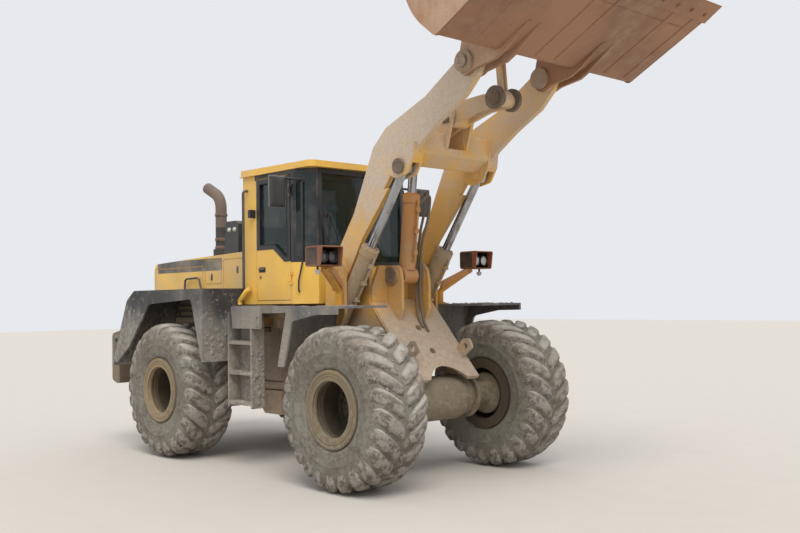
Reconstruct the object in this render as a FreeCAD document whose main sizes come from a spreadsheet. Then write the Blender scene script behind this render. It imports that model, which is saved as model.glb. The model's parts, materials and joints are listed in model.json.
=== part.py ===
import FreeCAD, Part
import math
import os
import re

from FreeCAD import Placement, Rotation, Vector

# An articulated wheel loader, in millimetres: +X forward, +Y to its left, +Z up.
# X sizes are measured from the vertical hinge between the two halves, which stands
# at hinge_x from the object's origin; Z sizes are measured from the ground.

SIZES = (
    # alias, value, what it is
    ("hinge_x", -498, "centre hinge from the object's origin"),
    ("axle_x", 1650, "axles ahead of and behind the hinge"),
    ("wheel_y", 1080, "middle plane of a wheel"),
    ("tyre_radius", 810, "tyre over its lugs"),
    ("tyre_half", 305, "half of the tyre's width"),
    ("tyre_carcass", 768, "tyre between its lugs"),
    ("lug_count", 24, "lugs in each half of the tread"),
    ("lug_width", 112, "width of a lug"),
    ("lug_slant", 212, "lead of a lug's inner end over its outer one"),
    ("lug_gap", 8, "from a lug's inner end to the tread's middle"),
    ("tyre_bore", 320, "tyre where it sits on the rim"),
    ("seat_gap", 0.3, "gap between seated curved faces"),
    ("rim_lip", 385, "outer radius of the rim's flanges"),
    ("rim_half", 285, "half of the rim's width over its flanges"),
    ("rim_inner", 280, "radius of the opening in the rim"),
    ("disc_y", 60, "outer face of the wheel disc, inboard of the wheel's middle"),
    ("disc_thick", 30, "wheel disc"),
    ("hub_radius", 185, "planetary hub on the wheel disc"),
    ("hub_depth", 60, "planetary hub outside the wheel disc"),
    ("axle_barrel", 235, "middle housing of an axle"),
    ("axle_tube", 135, "axle tube"),
    ("axle_drum", 225, "brake drum at the end of the axle"),
    ("run_gap", 0.8, "running gap between a wheel and its axle"),
    ("pin_gap", 0.5, "running gap round the loader's pins"),
    ("axle_seat", 1050, "top of the pads that an axle carries its frame on"),
    ("plate", 40, "heavy frame plate"),
    ("skin", 24, "fender and platform plate"),
    ("front_side_y", 430, "middle of the front frame's side plates"),
    ("outer_plate_y", 680, "middle of the outer tower plates"),
    ("tower_y", 200, "middle of the inner tower plates"),
    ("arm_x", 910, "lift arm pivot"),
    ("arm_z", 2170, "lift arm pivot"),
    ("arm_y", 555, "middle of a lift arm"),
    ("arm_thick", 60, "lift arm plate"),
    ("arm_pin", 45, "radius of the loader's pins"),
    ("boss_half", 98, "half of the width of the lift arm's rear boss"),
    ("pin_head", 105, "flanged heads of the bucket pins"),
    ("link_head", 115, "end discs of the pin between bellcrank and link"),
    ("head_thick", 36, "pin heads and end discs"),
    ("tip_x", 2830, "bucket pin"),
    ("tip_z", 4070, "bucket pin"),
    ("tip_boss", 130, "boss at the arm's tip"),
    ("lift_base_x", 730, "lift cylinder's base pin"),
    ("lift_base_z", 1495, "lift cylinder's base pin"),
    ("lift_eye_x", 1893, "lift cylinder's rod pin"),
    ("lift_eye_z", 3196, "lift cylinder's rod pin"),
    ("lift_bore", 90, "outer radius of a lift cylinder's barrel"),
    ("lift_rod", 46, "radius of a lift cylinder's rod"),
    ("lift_length", 1100, "lift barrel from its pin to its head"),
    ("eye_radius", 88, "eye of a cylinder"),
    ("eye_half", 42, "half of an eye's width"),
    ("fork_gap", 8, "side gap between an eye and its fork"),
    ("fork_plate", 26, "fork plate beside an eye"),
    ("tilt_base_x", 1300, "tilt cylinder's base pin"),
    ("tilt_base_z", 2120, "tilt cylinder's base pin"),
    ("tilt_eye_x", 1450, "tilt cylinder's rod pin"),
    ("tilt_eye_z", 3440, "tilt cylinder's rod pin"),
    ("tilt_bore", 88, "outer radius of the tilt cylinder's barrel"),
    ("tilt_rod", 48, "radius of the tilt cylinder's rod"),
    ("tilt_length", 880, "tilt barrel from its pin to its head"),
    ("crank_x", 2100, "bellcrank pivot on the cross beam"),
    ("crank_z", 3740, "bellcrank pivot on the cross beam"),
    ("crank_boss", 120, "boss of the bellcrank"),
    ("link_x", 2730, "pin between bellcrank and link"),
    ("link_z", 3820, "pin between bellcrank and link"),
    ("bucket_link_x", 2683, "pin between link and bucket"),
    ("bucket_link_z", 4393, "pin between link and bucket"),
    ("link_half", 50, "half of the link's width"),
    ("link_bar", 22, "the link's bars"),
    ("cheek_y", 85, "middle of the bellcrank's cheeks"),
    ("cheek_thick", 44, "bellcrank's cheeks"),
    ("bucket_half", 1440, "half of the bucket's width"),
    ("bucket_angle", 28, "bucket floor above the level, degrees"),
    ("bucket_floor", 1190, "bucket floor from heel to edge"),
    ("bucket_skin", 32, "bucket plate"),
    ("heel_x", 350, "bucket heel ahead of its pin, along the floor"),
    ("heel_z", 166, "bucket pin above the floor"),
    ("steer_base_x", -800, "steering cylinder's base pin"),
    ("steer_base_y", 400, "steering cylinder's base pin"),
    ("steer_eye_x", 300, "steering cylinder's rod pin"),
    ("steer_eye_y", 360, "steering cylinder's rod pin"),
    ("steer_z", 860, "height of the steering cylinders"),
    ("steer_bore", 55, "outer radius of a steering barrel"),
    ("steer_rod", 28, "radius of a steering rod"),
    ("steer_length", 640, "steering barrel from its pin to its head"),
    ("hinge_pin", 60, "radius of the centre hinge pins"),
    ("hinge_high", 1180, "middle of the upper hinge lugs"),
    ("hinge_low", 600, "middle of the lower hinge lugs"),
    ("rear_side_y", 420, "middle of the rear frame's side plates"),
    ("hood_half", 600, "half of the hood's width"),
    ("hood_wall", 40, "hood panel"),
    ("hood_low", 1540, "lower edge of the hood"),
    ("block_top", 2250, "top of the engine"),
    ("hood_rear", -3170, "rear end of the hood"),
    ("hood_front", -700, "front end of the hood"),
    ("cab_half", 800, "half of the cab's width"),
    ("cab_rear", -650, "rear face of the cab"),
    ("cab_front", 580, "front face of the cab"),
    ("cab_floor", 1830, "underside of the cab"),
    ("cab_top", 3330, "underside of the roof"),
    ("cab_wall", 50, "cab wall and door"),
    ("corner_x", 240, "length of the cab's front corner"),
    ("corner_y", 160, "depth of the cab's front corner"),
    ("door_rear", -380, "rear edge of a door"),
    ("door_front", 285, "hinge edge of a door"),
    ("door_gap", 6, "gap round a door"),
    ("knuckle", 14, "radius of a door hinge's knuckles"),
    ("door_pin", 7, "radius of a door hinge's pin"),
    ("fender_out", 1360, "outer edge of the fenders"),
    ("front_fender_in", 700, "inner edge of the front fenders"),
    ("front_fender_gap", 185, "front fenders above their tyres"),
    ("rear_fender_gap", 400, "rear fenders above their tyres"),
    ("fender_wall", -666, "front wall of the rear fenders, behind the cab"),
    ("deck_out", 1100, "outer edge of the platforms"),
    ("deck_top", 1810, "top of the platforms"),
    ("pipe_radius", 75, "exhaust pipe"),
    ("pipe_x", -2150, "exhaust pipe"),
    ("pipe_y", -150, "exhaust pipe"),
    ("tow_x", -3240, "tow pin's bore"),
    ("tow_pin", 25, "radius of the tow pin's bore"),
    ("tow_low", 880, "lower end of the tow pin's bore"),
    ("tow_span", 340, "tow pin's bore from end to end"),
    ("rail_radius", 16, "handrails"),
)

doc = FreeCAD.newDocument("WheelLoader")
sheet = doc.addObject("Spreadsheet::Sheet", "Sizes")
for row, (alias, value, note) in enumerate(SIZES, start=1):
    sheet.set(f"A{row}", note)
    sheet.set(f"B{row}", str(value))
    sheet.setAlias(f"B{row}", alias)
doc.recompute()


class Sizes:
    """Reads a driving dimension from the sheet by its alias."""

    def __getattr__(self, alias):
        return float(getattr(sheet, alias))


S = Sizes()


def cells(rule):
    """Turns a rule such as 'arm_y - arm_thick / 2' into one on the sheet's cells."""
    return re.sub(r"[a-z]\w+", lambda word: "Sizes." + word.group(), str(rule))


def outline(points):
    """Edges of a closed outline of (x, y) or (x, y, corner radius) points."""
    corners = []
    count = len(points)
    for i, point in enumerate(points):
        here = Vector(point[0], point[1], 0)
        radius = point[2] if len(point) > 2 else 0
        before = Vector(*points[i - 1][:2], 0) - here
        after = Vector(*points[(i + 1) % count][:2], 0) - here
        before.normalize()
        after.normalize()
        if radius:
            half = before.getAngle(after) / 2
            reach = radius / math.tan(half)
            bisector = before + after
            bisector.normalize()
            centre = here + bisector * (radius / math.sin(half))
            start = here + before * reach
            end = here + after * reach
            corners.append((start, centre - bisector * radius, end))
        else:
            corners.append((here, None, here))
    edges = []
    for i, (start, middle, end) in enumerate(corners):
        if middle is not None:
            edges.append(Part.Arc(start, middle, end))
        following = corners[(i + 1) % count][0]
        if (following - end).Length > 1e-4:
            edges.append(Part.LineSegment(end, following))
    return edges


def folded(points, thick):
    """Outline of a sheet folded along its outer (x, y[, radius]) points, thick to the right."""
    inner = []
    count = len(points)
    for i, (x, y, *radius) in enumerate(points):
        here = Vector(x, y, 0)
        runs = []
        if i > 0:
            runs.append((here - Vector(*points[i - 1][:2], 0)).normalize())
        if i < count - 1:
            runs.append((Vector(*points[i + 1][:2], 0) - here).normalize())
        sides = [Vector(run.y, -run.x, 0) for run in runs]
        middle = (sides[0] + sides[-1]).normalize()
        at = here + middle * (thick / middle.dot(sides[0]))
        bend = radius[0] - thick if radius else 0
        inner.append((at.x, at.y, max(bend, 0)))
    return outline(list(points) + inner[::-1])


def ring(x, y, radius):
    """A circle as the edges of a sketch."""
    return [Part.Circle(Vector(x, y, 0), Vector(0, 0, 1), radius)]


class Piece:
    """One sub-part: a body with features sketched on its own origin planes."""

    ROLES = {"X": "YZ_Plane", "Y": "XZ_Plane", "Z": "XY_Plane"}

    def __init__(self, name, x="hinge_x", y="0", z="0"):
        self.name = name
        self.body = doc.addObject("PartDesign::Body", name)
        self.body.Label = name
        self.body.AllowCompound = True
        self.made = 0
        for axis, rule in (("x", x), ("y", y), ("z", z)):
            self.body.setExpression("Placement.Base." + axis, cells(rule))
        pieces.append(self.body)

    def origin(self, role):
        return next(f for f in self.body.Origin.OriginFeatures if f.Role == role)

    def sketch(self, role, loops, offset):
        self.made += 1
        sketch = self.body.newObject("Sketcher::SketchObject", f"{self.name}_sketch{self.made}")
        sketch.AttachmentSupport = (self.origin(role), [""])
        sketch.MapMode = "FlatFace"
        sketch.setExpression("AttachmentOffset.Base.z", cells(offset))
        for loop in loops:
            sketch.addGeometry(loop, False)
        return sketch

    def feature(self, kind, sketch):
        feature = self.body.newObject("PartDesign::" + kind, f"{self.name}_{kind}{self.made}")
        feature.Profile = sketch
        self.body.Tip = feature
        return feature

    def pad(self, axis, loops, start, length):
        """Adds the loops, from start along +axis, length long."""
        offset = f"-({start}) - ({length})" if axis == "Y" else start
        pad = self.feature("Pad", self.sketch(self.ROLES[axis], loops, offset))
        pad.setExpression("Length", cells(length))
        return self

    def cut(self, axis, loops, start, length):
        """Cuts the loops away, from start along +axis, length long."""
        offset = f"-({start})" if axis == "Y" else f"({start}) + ({length})"
        pocket = self.feature("Pocket", self.sketch(self.ROLES[axis], loops, offset))
        pocket.setExpression("Length", cells(length))
        return self

    def turn(self, loops):
        """Turns a profile of (radius, y) points about the body's own Y axis."""
        turned = self.feature("Revolution", self.sketch("XY_Plane", loops, "0"))
        turned.ReferenceAxis = (self.origin("Y_Axis"), [""])
        turned.Angle = 360
        return self


def box_loop(low_x, low_y, high_x, high_y, radius=0):
    """A rectangle as a closed outline."""
    corners = ((low_x, low_y), (high_x, low_y), (high_x, high_y), (low_x, high_y))
    return outline([(x, y, radius) for x, y in corners])


def solid_piece(name, shape):
    """A sub-part whose form is made from solids directly, in hinge coordinates."""
    feature = doc.addObject("Part::Feature", name)
    feature.Label = name
    feature.Shape = shape
    feature.Placement = Placement(Vector(S.hinge_x, 0, 0), Rotation())
    pieces.append(feature)
    return feature


def tube(points, radius, bend):
    """A round bar along straight runs joined by arcs of one bend radius."""
    points = [Vector(*p) for p in points]
    edges = []
    start = points[0]
    for before, here, after in zip(points, points[1:], points[2:]):
        back = (before - here).normalize()
        ahead = (after - here).normalize()
        half = back.getAngle(ahead) / 2
        reach = bend / math.tan(half)
        towards = (back + ahead).normalize()
        middle = here + towards * (bend / math.sin(half) - bend)
        edges.append(Part.makeLine(start, here + back * reach))
        arc = Part.Arc(here + back * reach, middle, here + ahead * reach)
        edges.append(arc.toShape())
        start = here + ahead * reach
    edges.append(Part.makeLine(start, points[-1]))
    path = Part.Wire(edges)
    along = (points[1] - points[0]).normalize()
    circle = Part.Wire(Part.makeCircle(radius, points[0], along))
    return path.makePipeShell([circle], True, False)


def rod_between(start, end, radius):
    """A round bar from one point to another."""
    start = Vector(*start)
    along = Vector(*end) - start
    return Part.makeCylinder(radius, along.Length, start, along)


def plate_y(points, y, thick):
    """A plate cut to an outline in X and Z, its middle at y."""
    edges = [e.toShape() for e in outline(points)]
    face = Part.Face(Part.Wire(edges))
    face.rotate(Vector(), Vector(1, 0, 0), 90)
    face.translate(Vector(0, y + thick / 2, 0))
    return face.extrude(Vector(0, -thick, 0))


def disc_y(x, y, z, radius, thick):
    """A round boss across the machine, its middle at y."""
    return Part.makeCylinder(radius, thick, Vector(x, y - thick / 2, z), Vector(0, 1, 0))


def headed_pin(x, y, z, half, head):
    """A pin with a disc at each end, outside walls that reach half to each side of y."""
    face = half + S.run_gap
    parts = [disc_y(x, y, z, S.arm_pin, 2 * face)]
    for out in (-1, 1):
        parts.append(disc_y(x, y + out * (face + S.head_thick / 2), z, head, S.head_thick))
    return fused(parts)


def fused(shapes):
    """One solid, or a few that don't touch, with the seams between them cleared."""
    return shapes[0].multiFuse(shapes[1:]).removeSplitter()


def along(x0, z0, x1, z1, distance):
    """The point at a distance along a line in X and Z."""
    length = math.hypot(x1 - x0, z1 - z0)
    return x0 + (x1 - x0) * distance / length, z0 + (z1 - z0) * distance / length


def strip(x0, z0, x1, z1, width):
    """Outline of a bar along a line in X and Z."""
    length = math.hypot(x1 - x0, z1 - z0)
    across = -(z1 - z0) * width / length / 2, (x1 - x0) * width / length / 2
    return [(x0 - across[0], z0 - across[1]), (x1 - across[0], z1 - across[1]),
        (x1 + across[0], z1 + across[1]), (x0 + across[0], z0 + across[1])]


pieces = []
SIDES = (("right", -1), ("left", 1))
AXLES = (("front", 1), ("rear", -1))


def turned_y(points):
    """A solid turned about the Y axis from (radius, y) points."""
    face = Part.Face(Part.Wire([edge.toShape() for edge in outline(points)]))
    return face.revolve(Vector(), Vector(0, 1, 0), 360)


def tyre_form():
    """A tyre about its own middle: a casing with two rows of slanted, staggered lugs."""
    half, bore = S.tyre_half, S.tyre_bore + S.seat_gap
    lip, casing, top = S.rim_lip + S.seat_gap, S.tyre_carcass, S.tyre_radius
    bead, shoulder = S.rim_half - 40, half - 65
    section = [(bore, -bead), (lip, -bead), (lip + 45, -half + 20), (lip + 170, -half)]
    section += [(casing - 60, -half + 5), (casing, -shoulder)]
    mirrored = [(r, -y) for r, y in reversed(section)]
    tyre = turned_y(section + mirrored)
    tread = [(casing - 80, -half + 4), (top - 60, -half + 4), (top - 22, -half + 28)]
    tread += [(top, -shoulder)]
    tread = turned_y(tread + [(r, -y) for r, y in reversed(tread)])
    lead, thick = S.lug_slant / 2, S.lug_width / 2
    lug = [(-lead - thick, half), (-lead + thick, half), (lead + thick, S.lug_gap + 40)]
    lug += [(lead + thick - 25, S.lug_gap), (lead - thick, S.lug_gap)]
    face = Part.Face(Part.Wire([edge.toShape() for edge in outline(lug)]))
    face.translate(Vector(0, 0, casing - 70))
    left = face.extrude(Vector(0, 0, top - casing + 90)).common(tread)
    right = left.mirror(Vector(), Vector(0, 1, 0))
    pitch = 360 / S.lug_count
    lugs = []
    for i in range(int(S.lug_count)):
        for lug, turn in ((left, i * pitch), (right, (i + 0.5) * pitch)):
            copy = lug.copy()
            copy.rotate(Vector(), Vector(0, 1, 0), turn)
            lugs.append(copy)
    return tyre.multiFuse(lugs)


def wheel(end, ahead, side, out):
    """A tyre and its rim, turned about the wheel's own axis."""
    centre = S.hinge_x + S.axle_x * ahead, S.wheel_y * out, S.tyre_radius
    tyre = doc.addObject("Part::Feature", f"tyre_{end}_{side}")
    tyre.Label = f"tyre_{end}_{side}"
    tyre.Shape = TYRE
    tyre.Placement = Placement(Vector(*centre), Rotation())
    pieces.append(tyre)

    place = dict(x=f"hinge_x + axle_x * {ahead}", y=f"wheel_y * {out}", z="tyre_radius")
    edge, inner, wall = S.rim_half, S.rim_inner, S.tyre_bore
    step = inner + 22
    profile = [(inner, -edge), (S.rim_lip, -edge), (S.rim_lip, -edge + 38), (wall, -edge + 38)]
    profile += [(wall, edge - 38), (S.rim_lip, edge - 38), (S.rim_lip, edge), (inner, edge)]
    profile += [(inner, edge - 60), (step, edge - 90), (step, -edge + 90), (inner, -edge + 60)]
    if out < 0:
        profile = [(r, -y) for r, y in profile]
    rim = Piece(f"rim_{end}_{side}", **place)
    rim.turn([outline(profile)])
    face = -S.disc_y * out
    back = face - S.disc_thick * out
    rim.turn([outline([(0, back), (step + 2, back), (step + 2, face), (0, face)])])
    top = face + S.hub_depth * out
    hub = [(0, face), (S.hub_radius, face), (S.hub_radius - 12, top - 20 * out)]
    hub += [(S.hub_radius - 40, top), (0, top)]
    rim.turn([outline(hub)])


def axle(end, ahead):
    """An axle housing with its two brake drums and the nose towards the hinge."""
    piece = Piece(f"{end}_axle", x=f"hinge_x + axle_x * {ahead}", z="tyre_radius")
    stop = S.wheel_y - S.disc_y - S.disc_thick - S.run_gap
    barrel, pipe, drum = S.axle_barrel, S.axle_tube, S.axle_drum
    half = [(barrel, 0), (barrel, 300), (barrel - 45, 480), (barrel, 480)]
    half += [(barrel, 520), (pipe + 40, 520), (pipe, 600), (pipe, stop - 190)]
    half += [(drum, stop - 150), (drum, stop - 20), (150, stop), (0, stop)]
    mirrored = [(r, -y) for r, y in reversed(half[1:])]
    piece.turn([outline(half + mirrored)])
    start = "axle_barrel - 60" if ahead < 0 else "-axle_barrel - 160"
    piece.pad("X", [ring(0, 0, 120)], start, "220")
    seats = [box_loop(-90, low, 90, low + 140) for low in (330, -470)]
    piece.pad("Z", seats, "100", "axle_seat - tyre_radius - 100")


def front_chassis():
    """The front frame: side plates, tower, sloped front plate and hinge lugs."""
    thick = S.plate
    side_y, outer_y = S.front_side_y, S.outer_plate_y
    side = [(430, 520), (760, 520), (900, 760), (1250, 1090), (1500, 1150), (1860, 1040)]
    side += [(1930, 1040), (1200, 1870), (1200, 2190), (1100, 2290, 60), (860, 2290, 80)]
    side += [(815, 2170), (815, 1690), (690, 1580), (430, 1300)]
    outer = [(615, 1450, 60), (700, 1370, 60), (860, 1360, 60), (1080, 1700, 60), (1080, 2230, 80)]
    outer += [(1000, 2310, 90), (850, 2310, 90), (775, 2170, 60), (760, 1740), (620, 1590, 60)]
    wing = [(180, 1840), (440, 1840), (440, 1990), (330, 2230), (180, 2230)]
    tower = [(1130, 1640), (1400, 1640), (1450, 1760), (1450, 2060), (1420, 2230, 90)]
    tower += [(1180, 2230, 90), (1130, 2060)]
    parts = []
    for _, out in SIDES:
        parts.append(plate_y(side, out * side_y, thick))
        parts.append(plate_y(outer, out * outer_y, thick))
        bridge = box_of(790, 830, side_y, outer_y, 1880, 1990, out)
        parts.append(bridge)
        parts.append(plate_y(tower, out * S.tower_y, thick))
        parts.append(disc_y(S.tilt_base_x, out * S.tower_y, S.tilt_base_z, 105, thick + 30))
        corners = [Vector(1190, out * y, z) for y, z in wing]
        face = Part.Face(Part.makePolygon(corners + corners[:1]))
        parts.append(face.extrude(Vector(thick, 0, 0)))
    width = 2 * side_y
    parts.append(plate_y([(1200, 1870), (1930, 1040), (1900, 1010), (1170, 1842)], 0, width + thick))
    parts.append(plate_y([(430, 520), (470, 520), (470, 1300), (430, 1300)], 0, width))
    parts.append(plate_y([(450, 520), (760, 520), (760, 560), (450, 560)], 0, width))
    parts.append(plate_y([(450, 1260), (1250, 1090), (1262, 1130), (462, 1300)], 0, width))
    lug = [(0, -150), (300, -330), (450, -330), (450, 330), (300, 330), (0, 150)]
    for z in (S.hinge_high, S.hinge_low):
        for step in (-75, 75):
            face = Part.Face(Part.Wire([e.toShape() for e in outline(lug)]))
            face.translate(Vector(0, 0, z + step - thick / 2))
            parts.append(face.extrude(Vector(0, 0, thick)))
            parts.append(Part.makeCylinder(150, thick, Vector(0, 0, z + step - thick / 2)))
        parts.append(Part.makeCylinder(S.hinge_pin, 190, Vector(0, 0, z - 95)))
    body = fused(parts)
    for x, z in ((1480, 1560), (1690, 1320)):
        hole = Part.makeCylinder(38, 400, Vector(x - 150, 0, z - 132), Vector(0.75, 0, 0.66))
        body = body.cut(hole)
    body = body.cut(Part.makeCylinder(360, 400, Vector(1700, 0, 800), Vector(1, 0, 0)))
    parts = []
    eye = [(1640, 1290), (1720, 1200), (1900, 1340, 30), (1850, 1440, 50), (1760, 1430, 40)]
    for _, out in SIDES:
        for x, z in ((S.arm_x, S.arm_z), (S.lift_base_x, S.lift_base_z)):
            parts.append(disc_y(x, out * (side_y - thick / 2), z, 95, thick))
            parts.append(disc_y(x, out * (outer_y + thick / 2), z, 70, 30))
            parts.append(disc_y(x, out * (side_y + outer_y) / 2, z, S.arm_pin, outer_y - side_y))
        for step in (-75, 75):
            parts.append(box_of(S.steer_eye_x - 70, 460, S.steer_eye_y - 70, S.steer_eye_y + 70,
                S.steer_z + step - 15, S.steer_z + step + 15, out))
        parts.append(box_of(S.axle_x - 90, S.axle_x + 90, 330, 470, S.axle_seat,
            S.axle_seat + 150, out))
        bracket = plate_y(eye, out * (side_y - 40), 30)
        parts.append(bracket.cut(disc_y(1800, out * side_y, 1355, 32, 200)))
    parts.append(disc_y(S.tilt_base_x, 0, S.tilt_base_z, S.arm_pin, 2 * S.tower_y))
    solid_piece("front_chassis", fused([body] + parts))


def box_of(x0, x1, y0, y1, z0, z1, out=1):
    """A block by its limits, mirrored to the right side where out is -1."""
    low = y0 if out > 0 else -y1
    return Part.makeBox(x1 - x0, y1 - y0, z1 - z0, Vector(x0, low, z0))


def rear_chassis():
    """The rear frame: side plates, cross plates, hinge lugs, cab mounts and axle seats."""
    thick = S.plate
    side_y = S.rear_side_y
    deck = S.deck_top - 80
    parts = []
    side = [(-430, 520), (-760, 520), (-1250, 1080), (-2050, 1080), (-2300, 760)]
    side += [(-3095, 760), (-3095, 1500), (-430, 1500)]
    for _, out in SIDES:
        parts.append(plate_y(side, out * side_y, thick))
        parts.append(box_of(-3095, -700, side_y - 20, S.hood_half, 1500, S.hood_low, out))
        parts.append(box_of(-620, 80, side_y - 20, 760, deck - 60, deck, out))
        for x in (-620, -100):
            parts.append(box_of(x, x + thick, side_y - 20, 740, 1560, deck - 60, out))
        parts.append(box_of(-620, -440, side_y - 20, side_y + 20, 1480, deck - 60, out))
        for x in (-540, 10):
            parts.append(Part.makeCylinder(55, S.cab_floor - deck, Vector(x, out * 620, deck)))
    width = 2 * side_y
    for x, low in ((-430, 520), (-1180, 1120), (-2200, 800), (-3055, 800)):
        parts.append(Part.makeBox(thick, width, 1300 - low, Vector(x - thick, -side_y, low)))
    lug = [(0, -140), (0, 140), (-300, 300), (-450, 300), (-450, -300), (-300, -300)]
    for z in (S.hinge_high, S.hinge_low):
        face = Part.Face(Part.Wire([e.toShape() for e in outline(lug)]))
        face.translate(Vector(0, 0, z - 50))
        knuckle = Part.makeCylinder(140, 100, Vector(0, 0, z - 50))
        hole = Part.makeCylinder(S.hinge_pin + S.pin_gap, 200, Vector(0, 0, z - 100))
        parts.append(face.extrude(Vector(0, 0, 100)).fuse(knuckle).cut(hole))
    body = fused(parts)
    parts = []
    for _, out in SIDES:
        x, y, z = S.steer_base_x, S.steer_base_y, S.steer_z
        body = body.cut(box_of(x - 130, -400, y - 145, y + 80, z - 60, z + 60, out))
        for step in (-75, 75):
            parts.append(box_of(x - 60, x + 60, y - 60, y + 60, z + step - 15, z + step + 15, out))
        parts.append(Part.makeCylinder(32, 180, Vector(x, out * y, z - 90)))
        parts.append(box_of(-S.axle_x - 90, 90 - S.axle_x, 330, 470, S.axle_seat,
            S.axle_seat + 70, out))
    solid_piece("rear_chassis", fused([body] + parts))


def counterweight():
    """The cast weight across the tail, with jaws for a drawbar eye and the tow pin's bore."""
    piece = Piece("counterweight")
    low, high = S.tow_low, S.tow_low + S.tow_span
    jaw = 90
    shape = [(-3095, 780, 60), (-3300, 840, 60), (-3300, 1460, 60), (-3095, 1500)]
    piece.pad("Y", [outline(shape)], "-1150", "2300")
    piece.cut("Y", [box_loop(-3400, low + jaw, -3170, high - jaw)], "-120", "240")
    for base, top in ((700, low), (high, 1600)):
        piece.cut("Y", [box_loop(-3400, base, -3150, top)], "-200", "400")
    piece.cut("Z", [ring(S.tow_x, 0, S.tow_pin)], "tow_low - 50", "tow_span + 100")


def hood():
    """The hood: a hollow shell over the engine, open below and at both ends."""
    rear, front, wall = S.hood_rear, S.hood_front, S.hood_wall
    outer = [(rear, S.hood_low), (rear, 2290, 60), (rear + 90, 2395, 60), (-2000, 2440)]
    outer += [(front, 2480), (front, S.hood_low)]
    piece = Piece("engine_hood")
    piece.pad("Y", [outline(outer)], "-hood_half", "2 * hood_half")
    inner = [(rear - 10, 1500), (rear - 10, 2230), (rear + 90, 2355), (-2000, 2440 - wall)]
    inner += [(front + 10, 2440), (front + 10, 1500)]
    piece.cut("Y", [outline(inner)], "-hood_half + hood_wall", "2 * (hood_half - hood_wall)")
    hole = ring(S.pipe_x, S.pipe_y, S.pipe_radius + 30 + S.pin_gap)
    piece.cut("Z", [hole], "2200", "400")
    side, bend = S.hood_half, wall - 2
    corner = [(rear - 20, side + 20), (rear + 100, side + 20), (rear + 100, side)]
    corner += [(rear, side, bend), (rear, side - 100), (rear - 20, side - 100)]
    doors = ((rear + 60, 1600, -1880, 2330), (-1831, 2089, -1436, 2400), (-1400, 1600, -760, 2400))
    for _, out in SIDES:
        piece.cut("Z", [outline([(x, out * y, *r) for x, y, *r in corner])], "1500", "1000")
        start = "hood_half - 8" if out > 0 else "-hood_half"
        for low_x, low_z, high_x, high_z in doors:
            seam = [box_loop(low_x, low_z, high_x, high_z, 30)]
            seam += [box_loop(low_x + 10, low_z + 10, high_x - 10, high_z - 10, 20)]
            piece.cut("Y", seam, start, "8")
    block = Piece("engine_block")
    block.pad("Y", [box_loop(-2750, 1300, -1500, S.block_top)], "-350", "700")
    inside = S.hood_half - wall
    low, high, slats, border = 1540, 2230, 12, 50
    pitch = (high - low - border) / slats
    loops = [box_loop(-inside, low, inside, high)]
    for i in range(slats):
        z = low + border + i * pitch
        loops.append(box_loop(-inside + border, z, inside - border, z + 0.55 * pitch))
    grille = Piece("rear_grille")
    grille.pad("X", loops, "hood_rear", "50")


def exhaust():
    """The exhaust stack: collar, upright pipe and an outlet bent to the rear."""
    x, y, r = S.pipe_x, S.pipe_y, S.pipe_radius
    low = S.block_top
    stack = tube([(x, y, low), (x, y, 3260), (x - 330, y, 3420)], r, 230)
    bore = tube([(x, y, low + 300), (x, y, 3260), (x - 340, y, 3424)], r - 10, 230)
    collar = Part.makeCylinder(r + 30, 200, Vector(x, y, low + 120))
    solid_piece("exhaust_stack", stack.fuse(collar).cut(bore))


def lamp_box():
    """The box behind the cab that carries two rear lamps."""
    piece = Piece("rear_lamp_box")
    shape = [(-1090, 2468), (-740, 2480), (-740, 2760), (-1010, 2760, 40)]
    piece.pad("Y", [outline(shape)], "-460", "920")
    hollow = [(-1070, 2500), (-760, 2500), (-760, 2740), (-1000, 2740, 20)]
    piece.cut("Y", [outline(hollow)], "-440", "880")


def fenders():
    """Fenders over the wheels: a folded top plate with a deep lip along its outer edge."""
    skin, wall = S.skin, S.fender_wall
    top = 2 * S.tyre_radius + S.rear_fender_gap
    behind = -S.axle_x - S.tyre_radius
    arch = [(behind - 400, 1110), (behind - 10, top - 120, 80), (behind + 180, top, 80)]
    arch += [(wall, top), (wall, 1180)]
    rear_lip = [(wall - 20, 1180), (-910, top - 120, 60), (behind + 560, top - 170, 90)]
    rear_lip += [(behind + 40, 1320, 60), (behind - 270, 1110)]
    top = 2 * S.tyre_radius + S.front_fender_gap
    behind = S.axle_x - S.tyre_radius
    front_out = [(behind - 50, 1190), (behind + 120, top, 50), (S.axle_x + 110, top)]
    front_lip = [(S.axle_x + 110, top - 80), (behind + 580, top - 85)]
    front_lip += [(behind + 200, top - 150, 70), (behind + 60, 1190)]
    for side, out in SIDES:
        edge = "fender_out - skin" if out > 0 else "-fender_out"
        rear = Piece(f"rear_fender_{side}")
        start = "hood_half" if out > 0 else "-fender_out + skin"
        rear.pad("Y", [folded(arch, skin)], start, "fender_out - hood_half - skin")
        rear.pad("Y", [outline(arch + rear_lip)], edge, "skin")
        front = Piece(f"front_fender_{side}")
        start = "front_fender_in" if out > 0 else "-fender_out + skin"
        front.pad("Y", [folded(front_out, skin)], start, "fender_out - front_fender_in - skin")
        front.pad("Y", [outline(front_out + front_lip)], edge, "skin")


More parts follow.
